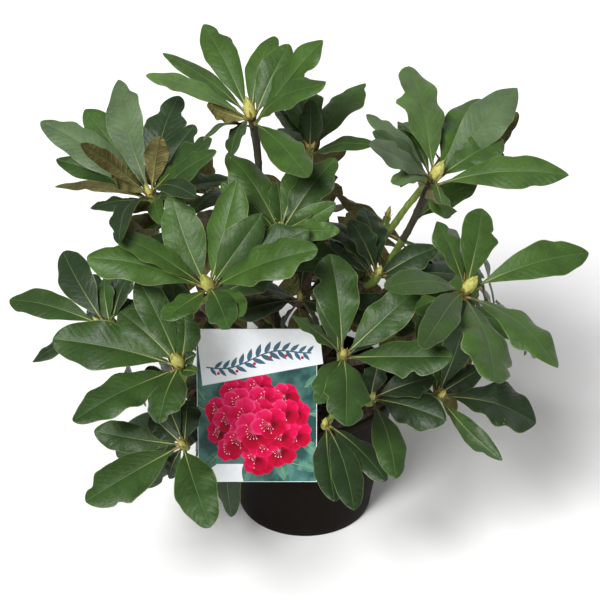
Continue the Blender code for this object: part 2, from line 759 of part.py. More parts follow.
def build_foliage(name, limb, leaves, collection):
    """One shoot: its stem with the bud, and its leaves fused on with their roots in the stem."""
    obj = finish(limb.curve("foliage_" + name, 0), collection, LEAF_LOOK)
    material = obj.data.materials[0]
    group = new_collection("leaves_" + name)
    for i, leaf in enumerate(leaves):
        verts, faces = leaf.shape()
        data = bpy.data.meshes.new(f"leaf_{name}_{i}")
        data.from_pydata(verts, [], faces)
        edit = bmesh.new()
        edit.from_mesh(data)
        bmesh.ops.recalc_face_normals(edit, faces=edit.faces)
        edit.to_mesh(data)
        edit.free()
        group.objects.link(bpy.data.objects.new(data.name, data))
    apply_boolean(obj, "UNION", group=group)
    for leaf in list(group.objects):
        bpy.data.objects.remove(leaf, do_unlink=True)
    bpy.data.collections.remove(group)
    keep_largest(obj)
    obj.data.materials.clear()
    obj.data.materials.append(material)
    for face in obj.data.polygons:
        face.use_smooth = False


def turned(name, profile, collection, look):
    """A profile, given from the top down its outer side, turned round the upright axis."""
    data = bpy.data.meshes.new(name)
    edges = [(i, i + 1) for i in range(len(profile) - 1)]
    data.from_pydata([(x, 0, z) for x, z in profile], edges, [])
    obj = finish(bpy.data.objects.new(name, data), collection, look)
    screw = obj.modifiers.new("Turn", "SCREW")
    screw.axis = "Z"
    screw.steps = POT_STEPS
    screw.render_steps = POT_STEPS
    screw.use_merge_vertices = True
    screw.merge_threshold = 0.00001
    screw.use_smooth_shade = True
    return obj


def wall_radius(z):
    """Outer radius of the pot's wall below its lip."""
    top = RIM_RADIUS - LIP_WIDTH
    return BASE_RADIUS + (top - BASE_RADIUS) * z / (POT_HEIGHT - LIP_HEIGHT)


def build_pot(collection):
    floor_radius = wall_radius(POT_FLOOR) - POT_WALL
    inside_top = RIM_RADIUS - LIP_WIDTH - POT_WALL + 1 * MM
    edge = 1.2 * MM
    profile = [
        (0, POT_FLOOR), (floor_radius, POT_FLOOR),
        (inside_top, POT_HEIGHT - edge), (inside_top + edge, POT_HEIGHT),
        (RIM_RADIUS - edge, POT_HEIGHT), (RIM_RADIUS, POT_HEIGHT - edge),
        (RIM_RADIUS - 0.4 * MM, POT_HEIGHT - LIP_HEIGHT + edge),
        (RIM_RADIUS - 1.4 * MM, POT_HEIGHT - LIP_HEIGHT),
        (wall_radius(POT_HEIGHT - LIP_HEIGHT), POT_HEIGHT - LIP_HEIGHT),
        (wall_radius(2 * MM), 2 * MM), (BASE_RADIUS - 1.5 * MM, 0), (0, 0),
    ]
    return turned("pot", profile, collection, POT_LOOK)


def inner_radius(z):
    """Inner radius of the pot's wall."""
    low = wall_radius(POT_FLOOR) - POT_WALL
    high = RIM_RADIUS - LIP_WIDTH - POT_WALL + 1 * MM
    return low + (high - low) * (z - POT_FLOOR) / (POT_HEIGHT - 1.2 * MM - POT_FLOOR)


def strip(name, path, width, thickness):
    """A bent strip along a path, as an open surface given its thickness by Solidify."""
    data = bpy.data.meshes.new(name)
    verts, faces = [], []
    for point in path:
        verts += [point - Vector((width / 2, 0, 0)), point + Vector((width / 2, 0, 0))]
    for i in range(len(path) - 1):
        faces.append((2 * i, 2 * i + 1, 2 * i + 3, 2 * i + 2))
    data.from_pydata(verts, [], faces)
    obj = bpy.data.objects.new(name, data)
    solid = obj.modifiers.new("Thickness", "SOLIDIFY")
    solid.thickness = thickness
    solid.offset = 0
    solid.use_even_offset = True
    return obj


def build_soil(collection, cutters):
    clear = 1.05 * GAP
    low, edge = POT_FLOOR + clear, SOIL_TOP - SOIL_SAG
    profile = [
        (0, SOIL_TOP), (30 * MM, SOIL_TOP), (0.75 * inner_radius(edge), SOIL_TOP - 0.3 * SOIL_SAG),
        (inner_radius(edge) - clear, edge), (inner_radius(low) - clear, low), (0, low),
    ]
    soil = turned("soil", profile, collection, SOIL_LOOK)
    path = tongue_path()
    over = path[2] + (path[1] - path[2]).normalized() * 20 * MM
    under = path[3] + (path[3] - path[2]).normalized() * GAP
    slot = strip("tongue_slot", [over, under], TONGUE_WIDTH + 2 * GAP, TONGUE_THICKNESS + 2 * GAP)
    cutters.objects.link(slot)
    slot.hide_render = True
    slot.display_type = "WIRE"
    cut = soil.modifiers.new("Slot", "BOOLEAN")
    cut.operation = "DIFFERENCE"
    cut.solver = "EXACT"
    cut.object = slot
    return soil


def build_card(collection):
    """The card: a flat outline with its banner wider than the picture, thickened and leaned back."""
    data = bpy.data.curves.new("label_card", "CURVE")
    data.dimensions = "2D"
    data.fill_mode = "BOTH"
    data.extrude = CARD_THICKNESS / 2
    wide, tall = CARD_WIDTH / 2, CARD_HEIGHT / 2
    corners = [
        (wide, -tall), (wide, tall - BANNER_DROP - 0.2 * BANNER_OVERHANG),
        (wide + BANNER_OVERHANG, tall - BANNER_DROP),
        (wide + BANNER_OVERHANG - BANNER_SLANT, tall), (-wide, tall), (-wide, -tall),
    ]
    spline = data.splines.new("POLY")
    spline.points.add(len(corners) - 1)
    for place, (x, y) in zip(spline.points, corners):
        place.co = (x, y, 0, 1)
    spline.use_cyclic_u = True
    curve = bpy.data.objects.new("label_card", data)
    bpy.context.scene.collection.objects.link(curve)
    curve.matrix_world = card_place() @ Matrix.Rotation(math.radians(90), 4, "X")
    bpy.context.view_layer.update()
    return finish(as_mesh(curve), collection, CARD_LOOK, smooth=False)


def build_tongue(collection):
    tongue = strip("label_tongue", tongue_path(), TONGUE_WIDTH, TONGUE_THICKNESS)
    return finish(tongue, collection, TONGUE_LOOK, smooth=False)


def main():
    clear_scene()
    plant = new_collection("potted_rhododendron")
    cutters = new_collection("cutters")
    cutters.hide_render = True
    trunk, boughs, shoots = grow_limbs()
    build_trunk(trunk, plant)
    build_boughs(trunk, boughs, plant, cutters)
    build_pot(plant)
    build_soil(plant, cutters)
    build_card(plant)
    build_tongue(plant)
    fixed = {name: limb.tree() for name, limb in shoots.items()}
    fixed.update({"bough_" + name: limb.tree() for name, limb in boughs.items()})
    fixed["trunk"] = trunk.tree()
    pot_axis = [Vector((0, 0, z * MM)) for z in (0, 0.1, 138, 139, 151, 151.1)]
    pot_radii = [1 * MM, BASE_RADIUS, RIM_RADIUS - 2 * MM, RIM_RADIUS + GAP, RIM_RADIUS + GAP, 1 * MM]
    fixed["pot"] = Limb(pot_axis, pot_radii).tree(24)
    fixed["card"] = box_surface(
        CARD_WIDTH + 2 * BANNER_OVERHANG, CARD_THICKNESS, CARD_HEIGHT, card_place())
    path = tongue_path()
    middle = (path[1] + path[2]) / 2
    fixed["tongue"] = box_surface(TONGUE_WIDTH, 30 * MM, 50 * MM, Matrix.Translation(middle))
    stems = {name: limb.points[: -BUD_STEPS] for name, limb in shoots.items()}
    crown = Crown(fixed, stems)
    crown.grow()
    for name, limb in shoots.items():
        build_foliage(name, limb, crown.leaves[name], plant)
    count = sum(len(leaves) for leaves in crown.leaves.values())
    wanted = sum(len(shoot.leaves) + shoot.fill for shoot in SHOOTS.values())
    print(f"{count} leaves of {wanted} on {len(shoots)} shoots")
    for name, leaves in crown.leaves.items():
        print(name, len(leaves), "of", len(SHOOTS[name].leaves) + SHOOTS[name].fill)


main()
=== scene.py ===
"""Looks of a potted rhododendron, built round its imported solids.

The bush is grown again by the rule of its solids, so every leaf keeps its place, and
each part is then finished finely: old wood with bark, shoots with scars and rings,
leaves with a folded wavy blade and veins, buds with scales. The pot, the soil and the
picture card follow. Lengths in the tables are millimetres and angles are degrees;
everything else is in metres.
"""

import sys
import functools
import itertools
import logging
import math
import random
from collections.abc import Callable, Iterable, Sequence
from dataclasses import dataclass, field
from enum import Enum, IntEnum

import bpy
import numpy as np
from mathutils import Matrix, Quaternion, Vector
from mathutils.bvhtree import BVHTree


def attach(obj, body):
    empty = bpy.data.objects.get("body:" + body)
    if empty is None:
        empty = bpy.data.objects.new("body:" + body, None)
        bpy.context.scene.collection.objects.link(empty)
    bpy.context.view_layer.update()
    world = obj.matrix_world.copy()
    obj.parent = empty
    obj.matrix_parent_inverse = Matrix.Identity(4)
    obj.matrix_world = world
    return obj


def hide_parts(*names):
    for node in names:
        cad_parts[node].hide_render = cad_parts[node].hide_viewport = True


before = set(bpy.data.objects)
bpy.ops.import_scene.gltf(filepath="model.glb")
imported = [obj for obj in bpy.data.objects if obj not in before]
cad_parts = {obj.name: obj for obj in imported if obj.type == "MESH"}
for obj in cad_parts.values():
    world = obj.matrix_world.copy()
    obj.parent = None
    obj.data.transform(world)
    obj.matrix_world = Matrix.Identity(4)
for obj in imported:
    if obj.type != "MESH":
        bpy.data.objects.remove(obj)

log = logging.getLogger("potted_rhododendron")

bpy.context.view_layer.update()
MM = 0.001
Colour = tuple[float, float, float, float]

# Pot
RIM_RADIUS = 95 * MM
BASE_RADIUS = 69 * MM
POT_HEIGHT = 150 * MM
POT_WALL = 2.2 * MM
POT_FLOOR = 3 * MM
LIP_HEIGHT = 10 * MM
LIP_WIDTH = 3.2 * MM
LIP_ROLL = 1.2 * MM
INSIDE_TOP = RIM_RADIUS - LIP_WIDTH - POT_WALL + 1 * MM

# Soil
SOIL_TOP = 135 * MM
SOIL_SAG = 3 * MM
GAP = 0.3 * MM

# Trunk
TRUNK_FOOT = Vector((4, 4, 135.3)) * MM
TRUNK_BEND = Vector((0, 0, 168)) * MM
TRUNK_FORK = Vector((-3, 2, 204)) * MM
FLARE_RADIUS = 15.5 * MM
TRUNK_RADIUS = 11 * MM
FORK_RADIUS = 8.6 * MM

# Limbs
BOUGH_RADIUS = 6 * MM
BOUGH_TIP_RADIUS = 4.9 * MM
KNUCKLE_RADIUS = 6.8 * MM
SHOOT_START = 7.4 * MM
SHOOT_START_RADIUS = 3.2 * MM
SHOOT_RADIUS = 4.2 * MM
SPREAD_ANGLE = 62
SPREAD_BACK = 20
SPREAD_ROUNDS = 60
SPREAD_STEP = 0.01
BOUGH_STEPS = 6
SHOOT_STEPS = 4
BUD_STEPS = 2

# Buds
BUD_LENGTH = 22 * MM
BUD_RADIUS = 5.6 * MM
SLIM_BUD_LENGTH = 13 * MM
SLIM_BUD_RADIUS = 2.6 * MM

# Leaves
LEAF_LENGTH = 122
LEAF_LENGTH_MOST = 134
LEAF_RATIO = 0.35
LEAF_THICKNESS = 1.4 * MM
PETIOLE_SHARE = 0.12
PETIOLE_HALF_WIDTH = 1.5 * MM
WHORL_DEPTH = 13 * MM
OLD_LEAF_SHARE = (0.35, 0.62)
OLD_STEM_LENGTH = 105 * MM
GOLDEN_ANGLE = 137.508
STATIONS = (0.0, PETIOLE_SHARE, 0.49, 0.82, 1.0)
CLEARANCE = 0.7 * MM
SEED = 41

# How a seen leaf is shortened, turned and swung, in degrees, until it is clear
SHRINKS = (1.0, 0.88)
TURNS = (0, 5, -5, 10, -10)
NUDGES = (0, 7, -7, 14, -14, 21, -21, 28, -28, 36, -36)
TILT_MOST = 1.25

# Leaves of the rule: how many are tried round a stem, from which one on they are smaller,
# how far they lie from a bare stem, and how alike two ways of growing may be, in degrees
TRIES = 34
SMALLER_FROM = 20
OLD_CONE = 88
ALIKE = 21

# A shoot's least lean outward and its gain with each metre, in degrees; then how far its
# leaves lie from it at a height in metres, and how much less with each metre up
LEAN_LEAST = 6
LEAN_GAIN = 130
CONE = 78
CONE_HEIGHT = 0.2
CONE_FALL = 80

# A leaf's own map spans this many millimetres; its side veins' spacing, slant and curve
MAP_SPAN = 200.0
VEIN_PITCH = 7.6
VEIN_SLANT = 0.72
VEIN_CURVE = 0.014

BOX_CORNERS = tuple((x, y, z) for x in (-1, 1) for y in (-1, 1) for z in (-1, 1))
BOX_FACES = [(0, 1, 3, 2), (4, 6, 7, 5), (0, 4, 5, 1), (2, 3, 7, 6), (0, 2, 6, 4), (1, 5, 7, 3)]

# The front of the bush is described as seen from the front and from above.
LOOK_DOWN = math.radians(32)
RIGHT = Vector((1, 0, 0))
UP = Vector((0, math.sin(LOOK_DOWN), math.cos(LOOK_DOWN)))
TOWARD = Vector((0, -math.cos(LOOK_DOWN), math.sin(LOOK_DOWN)))
VIEW_CENTRE = Vector((-5, 0, 246)) * MM
VIEW_DISTANCE = 2.0

# Card and its tongue
CARD_WIDTH = 117 * MM
CARD_HEIGHT = 162 * MM
CARD_THICKNESS = 1.0 * MM
CARD_LEAN = math.radians(12)
CARD_CENTRE = Vector((-47, -93, 181.5)) * MM
BANNER_OVERHANG = 6 * MM
TONGUE_WIDTH = 16 * MM
TONGUE_THICKNESS = 1.4 * MM
TONGUE_OFFSET = 16 * MM
TONGUE_ENTRY = Vector((0, -66, 135)) * MM

# Where each bough leaves the trunk, the points that it passes and its tip
BOUGHS = {
    "upper_left": (186, ((-25, -2, 216),), (-40, 1, 262)),
    "left": (168, ((-44, -14, 203),), (-94, -30, 248)),
    "front_left": (151, ((-52, -34, 168),), (-104, -72, 188)),
    "front_right": (151, ((23, -42, 178),), (46, -84, 202)),
    "right": (167, ((48, -28, 192),), (98, -62, 226)),
    "upper_right": (188, ((27, 1, 220),), (55, 3, 264)),
    "back_right": (160, ((34, 38, 178),), (70, 78, 194)),
    "back_left": (157, ((-32, 40, 176),), (-68, 80, 192)),
    "middle": (205, ((0, 12, 238),), (4, 38, 282)),
}


@dataclass(frozen=True)
class Shoot:
    """One shoot: where its whorl sits, what carries it, and its leaves.

    A leaf is its clock angle as seen from the front, its seen reach and its width,
    then its roll about its own length and, where it is known, how far it comes
    toward the front.
    """

    bough: str
    centre: tuple[float, float, float]
    leaves: tuple[tuple[float, ...], ...] = ()
    fill: int = 2
    old: int = 1
    full_bud: bool = True
    radius: float = SHOOT_RADIUS
    via: tuple[tuple[float, float, float], ...] = ()


SHOOTS = {
    "centre_right": Shoot("front_right", (34, -195, 309), ((97, 92, 42), (42.6, 93, 36), (-1.5, 99, 38),
        (143, 58, 20, 30), (241, 46, 28), (-88, 63, 40, 0, 40)), 2, full_bud=False),
    "low_left": Shoot("front_left", (-114, -185, 202), ((-72, 80, 41), (210, 105, 50), (171, 84, 30, -12),
        (137, 41, 26), (84, 42, 30), (246, 34, 18, 0, -20)), 3, full_bud=False, via=((-119, -116, 184),)),
    "left": Shoot("front_left", (-115, -170, 282), ((248.5, 55, 38, 0, 40), (169, 119, 50),
        (206, 110, 46), (138.5, 74, 38), (84, 46, 30, 40), (34, 17, 15), (-20, 15, 14)),
        2, via=((-124, -128, 212),)),
    "low_centre": Shoot("front_right", (62, -165, 241), ((-17, 72, 40), (-73, 77, 30), (19.5, 61, 30),
        (131, 39, 18), (80, 34, 22)), 3, full_bud=False),
    "centre_left": Shoot("left", (-87, -155, 356), ((112, 94, 38), (76.5, 101, 40), (54.5, 82, 34, 40),
        (21, 102, 42), (149, 100, 28, 15), (164, 114, 37), (215, 50, 30), (-65, 43, 30), (-40, 40, 28)),
        1, via=((-100, -92, 300),)),
    "low_right": Shoot("right", (127, -150, 233), ((-13.5, 93, 50), (-47, 82, 20, 60), (35, 47, 25),
        (170, 34, 22), (90, 60, 34)), 3, full_bud=False),
    "pot_front": Shoot("front_right", (19, -130, 186), ((-83, 73, 30), (-71.5, 88, 30), (-42, 79, 28)),
        2, full_bud=False),
    "right": Shoot("right", (149, -120, 332), ((78.5, 77, 36), (17.5, 119, 37), (113, 69, 30),
        (-37, 108, 40), (-70.5, 86, 50), (233, 64, 30), (179, 39, 16), (178, 77, 28),
        (200, 52, 26, 0, -20)), 1),
    "behind_card": Shoot("front_left", (-77, -72, 168), ((-90, 113, 30, 0, -8), (203, 58, 28),
        (226, 62, 30), (158, 48, 26), (104, 86, 32, 0, -20), (64, 92, 30, 0, -24),
        (142, 52, 28, 0, -40), (238, 66, 30, 0, -40)), 1, full_bud=False),
    "upper_centre": Shoot("upper_left", (-23, -95, 381), ((123, 88, 35), (95, 45, 24, 35), (54, 84, 38),
        (26, 56, 24, 60), (27, 33, 16, 60), (0, 55, 20, 50), (139, 70, 30)), 3, full_bud=False),
    "far_left": Shoot("left", (-199, -60, 255), ((163, 94, 32), (117, 80, 36), (208, 75, 30),
        (62, 58, 28, 0, -20), (30, 52, 26, 0, -24), (88, 48, 24, 0, -30)), 3, full_bud=False),
    "inner_right": Shoot("upper_right", (70, -50, 306), ((101, 66, 32), (118, 60, 28), (145, 57, 28),
        (-20, 42, 26, 0, -40), (132, 70, 28), (27, 64, 32, 0, -40)), 3, full_bud=False),
    "upper_left": Shoot("left", (-147, -30, 383), ((105.5, 113, 37), (128, 101, 34), (145, 132, 36),
        (144, 84, 17, 60, 45), (159, 96, 28), (174, 91, 20, 65), (148, 45, 22, 130, 30),
        (81, 55, 23, 270, 45), (76, 99, 36, 20), (41, 79, 34, 25), (60, 78, 34, 25), (35, 73, 26, 25),
        (-5, 45, 22), (190, 58, 26), (230, 52, 26), (-75, 24, 16)), 2, full_bud=False),
    "inner": Shoot("upper_left", (-5, -40, 271), ((165, 70, 30), (190, 66, 30), (30, 70, 30),
        (245, 50, 32, 0, -42), (300, 46, 30, 0, -42), (-20, 50, 26), (272, 42, 26, 0, -48)), 5,
        full_bud=False),
    "upper_right": Shoot("upper_right", (121, -40, 406), ((102, 108, 52), (47.6, 118, 40),
        (1, 127, 38, 25), (134, 85, 26, -25), (140, 70, 30, -10), (152, 77, 26, -25), (181, 36, 20),
        (190, 32, 18, 40), (-68, 38, 22, 160), (-75, 40, 22), (31, 76, 34), (64, 84, 38, 0, -40),
        (122, 63, 22, 0, -30)),
        3, radius=4.7 * MM, via=((74, -6, 284), (96, -20, 330))),
    "top": Shoot("upper_left", (-51, 0, 450), ((116.5, 101, 30), (75, 80, 30), (63, 78, 30, 40),
        (47, 99, 38, 20), (28, 72, 29, 40), (-45, 76, 33), (144.5, 103, 22), (157, 107, 22, -15),
        (166, 44, 22, 140), (195, 47, 14), (243, 44, 17)), 3, via=((-43, 0, 300),)),
    "upper_right_back": Shoot("upper_right", (133, 20, 394), ((58, 70, 32), (29, 84, 32, 170),
        (137, 53, 28), (5, 60, 30)), 4, full_bud=False, radius=4.4 * MM, via=((92, 12, 334),)),
    "top_right": Shoot("middle", (4, 50, 391), ((49, 84, 44), (88, 46, 24, 180, 35), (10, 60, 20, 40),
        (147, 36, 24), (155, 41, 24), (95, 69, 30), (107, 85, 32), (128, 54, 22)), 4),
    "right_side": Shoot("right", (196, -8, 222), (), 8, 2),
    "left_side": Shoot("back_left", (-196, 34, 196), (), 8, 2, full_bud=False),
    "back_middle": Shoot("middle", (-4, 138, 296), (), 9, 2),
    "back_upper_left": Shoot("middle", (-92, 118, 300), (), 9, 2),
    "back_upper_right": Shoot("middle", (86, 118, 274), (), 9, 2, full_bud=False),
    "back_left": Shoot("back_left", (-156, 118, 246), (), 9, 2, full_bud=False),
    "back_right": Shoot("back_right", (142, 116, 224), (), 9, 2),
    "back_low_left": Shoot("back_left", (-92, 186, 204), (), 9, 2),
    "back_low_right": Shoot("back_right", (118, 178, 192), (), 9, 2, full_bud=False),
    "back_low": Shoot("back_right", (12, 212, 218), (), 9, 2),
    "inner_back": Shoot("back_left", (-6, 112, 206), (), 9, 1, full_bud=False),
}

# The card's face, as seen from the front, stays clear of the leaves that the rule adds.
CARD_VIEW = (-108, -192, 22, -24)

# Parts of the view from the front that stay open, as left, bottom, right and top
# in millimetres from the middle of the view.
OPEN_VIEW = (
    (-300, 38, -184, 105), (-116, 106, -72, 200), (-35, 120, 0, 170), (45, 96, 122, 215),
    (120, 65, 145, 95), (198, 52, 300, 110), (-300, -300, -240, 40), (246, -300, 300, 110),
    (-215, -300, -128, -206), (105, -300, 300, -180), (-300, 150, 300, 300), (205, 0, 300, 38),
    (-300, -300, 300, -238), (66, 45, 150, 108), (150, -180, 240, -128), (197, -130, 300, -60),
    (-232, -104, -180, -68), (-10, -222, 45, -196), (188, 5, 204, 95),
)

# Where the front leaves of the high shoots hide what stands behind them
HIDDEN_VIEW = (
    (-225, 85, -100, 195), (-95, 165, 5, 245), (-25, 140, 45, 205), (105, 114, 215, 205),
)

# How much lighter a shoot's leaves are dealt than others at their place: painted light on lit shoots and
# painted shade on those that lie in shade
SHOOT_PAINTED_LIGHT = {
    "left": -0.2, "low_left": -0.25, "centre_left": -0.12, "upper_right": 0.16, "low_right": -0.3,
    "top": 0.1, "right": 0.06, "low_centre": -0.15, "centre_right": -0.05, "pot_front": -0.5,
    "behind_card": -0.5, "inner": -0.5, "inner_back": -0.5, "inner_right": -0.3, "far_left": -0.2,
    "left_side": -0.3, "right_side": -0.3, "back_middle": -0.3, "back_upper_left": -0.25,
    "back_upper_right": -0.45,
}

# Leaves dealt lighter or darker than the rest of their shoot's, by their number there: painted light and
# painted shade on single leaves
LEAF_PAINTED_LIGHT = {
    ("upper_left", 0): 0.1, ("upper_left", 1): 0.1, ("upper_left", 2): 0.15, ("upper_left", 4): -0.3,
    ("upper_left", 8): -0.35, ("upper_left", 9): -0.45, ("upper_left", 10): -0.4, ("upper_left", 11): -0.5,
    ("upper_left", 12): -0.5, ("upper_left", 13): -0.5, ("upper_left", 14): -0.45, ("far_left", 1): -0.5,
    ("upper_right", 4): -0.5, ("upper_right", 10): -0.3, ("upper_right", 12): -0.5, ("top", 10): -0.5,
    ("top_right", 0): 0.3, ("top_right", 5): 0.2, ("right", 1): -0.15, ("right", 5): -0.2,
}

# Shoots whose older or younger stretch of stem differs from brown below green: 0 brown, 1 green, 2
# near-black, which is painted shade under a whorl
STEM_SKINS = {"upper_right": (1, 2), "upper_right_back": (1, 1), "top": (2, 2), "inner": (0, 0)}


def unit(angle: float) -> tuple[float, float]:
    """Cosine and sine of an angle in degrees."""
    return math.cos(math.radians(angle)), math.sin(math.radians(angle))


def quads(rings: int, sides: int) -> list[tuple[int, ...]]:
    """Faces of a round wall that joins rings of points, ring by ring."""
    edges = [(i * sides + k, i * sides + (k + 1) % sides) for i in range(rings - 1) for k in range(sides)]
    return [(a, b, b + sides, a + sides) for a, b in edges]


def smooth_path(
    points: Sequence[Vector], steps: int, first: Vector | None = None, last: Vector | None = None
) -> list[Vector]:
    """Reads points from a smooth curve through the given ones.

    Args:
        points: The points that the curve passes.
        steps: About how many pieces the whole curve is read in.
        first: Direction at the start, or None for the first chord's.
        last: Direction at the end, or None for the last chord's.

    Returns:
        The points read, with both ends.
    """
    chords = [b - a for a, b in zip(points, points[1:])]
    ways = [chord.normalized() for chord in chords]
    ways = [first or ways[0]] + [(a + b).normalized() for a, b in zip(ways, ways[1:])] + [last or ways[-1]]
    whole = sum(chord.length for chord in chords)
    path = [points[0].copy()]
    for k, chord in enumerate(chords):
        pieces = max(1, round(steps * chord.length / whole))
        a, d = points[k], points[k + 1]
        b, c = a + ways[k] * (chord.length / 3), d - ways[k + 1] * (chord.length / 3)
        for i in range(1, pieces + 1):
            t = i / pieces
            near_start = a * (1 - t) ** 3 + b * (3 * t * (1 - t) ** 2)
            path.append(near_start + c * (3 * t * t * (1 - t)) + d * t ** 3)
    return path


def path_length(points: Sequence[Vector]) -> float:
    """Length of a path."""
    return sum((b - a).length for a, b in zip(points, points[1:]))


class Placed:
    """A surface that leaves keep clear of: its box and a search tree of its faces."""

    def __init__(self, verts: Sequence[Vector], faces: Sequence[tuple[int, ...]]) -> None:
        """Takes the surface's corners, and its faces as numbers of corners."""
        self.low, self.high = (Vector(pick(v[i] for v in verts) for i in range(3)) for pick in (min, max))
        self.tree = BVHTree.FromPolygons(verts, faces)

    def meets(self, other: "Placed") -> bool:
        """Tells whether any faces of two surfaces cross."""
        apart = any(self.low[i] > other.high[i] or other.low[i] > self.high[i] for i in range(3))
        return not apart and bool(self.tree.overlap(other.tree))


@dataclass
class Limb:
    """A tapering limb: its axis and its radius at each point of it."""

    points: list[Vector]
    radii: list[float]

    def tree(self, sides: int = 6) -> Placed:
        """Makes a coarse surface of the limb.

        Args:
            sides: How many sides the tube has.

        Returns:
            The surface, ready to be searched.
        """
        verts = []
        for i, point in enumerate(self.points):
            ahead = self.points[min(i + 1, len(self.points) - 1)]
            along = (ahead - self.points[max(i - 1, 0)]).normalized()
            side = along.orthogonal().normalized()
            across = along.cross(side)
            for k in range(sides):
                c, s = unit(360 * k / sides)
                verts.append(point + (side * c + across * s) * self.radii[i])
        return Placed(verts, quads(len(self.points), sides))


@dataclass
class Leaf:
    """One leaf, from its root in the shoot to its tip."""

    root: Vector
    tip: Vector
    normal: Vector
    width: float
    arch: float
    fold: float

    def half_width(self, u: float) -> float:
        """Half the blade's width, or the stalk's near the root.

        Args:
            u: Share of the way from the root to the tip.

        Returns:
            The half width there.
        """
        if u <= PETIOLE_SHARE:
            return PETIOLE_HALF_WIDTH
        t = (u - PETIOLE_SHARE) / (1 - PETIOLE_SHARE)
        if t < 0.55:
            share = math.sin(math.pi / 2 * t / 0.55) ** 1.1
        else:
            share = max(0.0, math.cos(math.pi / 2 * (t - 0.55) / 0.45)) ** 0.65
        return max(PETIOLE_HALF_WIDTH, self.width / 2 * share) if u < 1 else 0.0

    def axes(self) -> tuple[Vector, Vector, Vector]:
        """Directions along, across and above the blade."""
        along = (self.tip - self.root).normalized()
        side = self.normal.cross(along).normalized()
        return along, side, along.cross(side)

    def room(self, stations: Sequence[float]) -> Placed:
        """Makes the coarse closed blade, a little widened, that finds the leaf's room.

        Args:
            stations: Shares of the length at which the blade has a ring of corners.

        Returns:
            Its surface.
        """
        chord = self.tip - self.root
        _, side, above = self.axes()
        verts: list[Vector] = []
        for u in stations[:-1]:
            middle = self.root + chord * u + above * (self.arch * chord.length * 4 * u * (1 - u))
            half = self.half_width(u) + CLEARANCE
            lift = math.tan(self.fold) * half if u > PETIOLE_SHARE else 0.0
            thick = LEAF_THICKNESS / 2 + CLEARANCE if u > PETIOLE_SHARE else PETIOLE_HALF_WIDTH * 0.8
            verts += [middle - side * half + above * lift, middle + above * thick,
                      middle + side * half + above * lift, middle - above * thick]
        end = len(verts)
        caps = [(3, 2, 1, 0)] + [(end - 4 + k, end - 4 + (k + 1) % 4, end) for k in range(4)]
        return Placed(verts + [self.tip], quads(len(stations) - 1, 4) + caps)


def trunk_limb(steps: int = 8) -> Limb:
    """The trunk from the flat cut at the soil to the fork.

    Args:
        steps: How many pieces its axis is read in.

    Returns:
        The trunk's axis and radii.
    """
    points = smooth_path([TRUNK_FOOT, TRUNK_BEND, TRUNK_FORK], steps, first=Vector((0, 0, 1)))
    radii = []
    for point in points:
        t = (point.z - TRUNK_FOOT.z) / (TRUNK_FORK.z - TRUNK_FOOT.z)
        flare = (FLARE_RADIUS - TRUNK_RADIUS) * math.exp(-t / 0.12)
        radii.append(TRUNK_RADIUS + (FORK_RADIUS - TRUNK_RADIUS) * t + flare)
    return Limb(points, radii)


def bough_limb(trunk: Limb, height: float, passed: tuple, tip: tuple, steps: int = BOUGH_STEPS) -> Limb:
    """A bough from inside the trunk to the knuckle that its shoots rise from.

    Args:
        trunk: The trunk that it leaves.
        height: Height at which it leaves it.
        passed: Points that it passes.
        tip: Middle of its knuckle.
        steps: How many pieces its axis is read in.

    Returns:
        The bough's axis and radii.
    """
    start = min(trunk.points, key=lambda p: abs(p.z - height * MM)).copy()
    start.z = height * MM
    points = smooth_path([start] + [Vector(p) * MM for p in passed] + [Vector(tip) * MM], steps)
    last = points.pop()
    along = (last - points[-1]).normalized()
    radii = [BOUGH_RADIUS + (BOUGH_TIP_RADIUS - BOUGH_RADIUS) * i / len(points) for i in range(len(points))]
    while len(points) > steps // 2 and (last - points[-1]).length < 0.8 * KNUCKLE_RADIUS:
        points.pop()
        radii.pop()
    for share, across in ((-0.6, 0.8), (0, 1), (0.6, 0.8), (0.95, 0.31)):
        points.append(last + along * (share * KNUCKLE_RADIUS))
        radii.append(across * KNUCKLE_RADIUS)
    return Limb(points, radii)


def spread(directions: Sequence[Vector], inward: Vector) -> list[Vector]:
    """Pushes directions apart on a sphere, and away from the limb that they rise from.

    Args:
        directions: The directions wanted.
        inward: Direction back along the limb.

    Returns:
        The directions found.
    """
    found = [d.normalized() for d in directions]
    for _ in range(SPREAD_ROUNDS):
        for i, one in enumerate(found):
            push = Vector()
            for k, other in enumerate(found + [inward]):
                angle = math.degrees(one.angle(other)) if k != i else 180
                room = SPREAD_ANGLE + (SPREAD_BACK if k == len(found) else 0)
                if angle < room:
                    push += (one - other).normalized() * (room - angle) * SPREAD_STEP
            found[i] = (one + push).normalized()
    return found


def shoot_axis(centre: Vector) -> Vector:
    """A shoot points up and leans outward, the more so the further out it stands.

    Args:
        centre: Middle of its whorl.

    Returns:
        Its direction at the whorl.
    """
    out = Vector((centre.x, centre.y, 0))
    lean = math.radians(LEAN_LEAST + LEAN_GAIN * out.length)
    return (out.normalized() * math.sin(lean) + Vector((0, 0, 1)) * math.cos(lean)).normalized()


def shoot_path(shoot: Shoot, base: Vector, direction: Vector, start: float, steps: int) -> list[Vector]:
    """The axis of a shoot's stem, from a little outside the middle of its knuckle to its whorl."""
    controls = [base + direction * start] + [Vector(p) * MM for p in (*shoot.via, shoot.centre)]
    return smooth_path(controls, steps, first=direction, last=shoot_axis(controls[-1]))


def bud_size(shoot: Shoot) -> tuple[float, float]:
    """Length and radius of a shoot's bud."""
    return (BUD_LENGTH, BUD_RADIUS) if shoot.full_bud else (SLIM_BUD_LENGTH, SLIM_BUD_RADIUS)


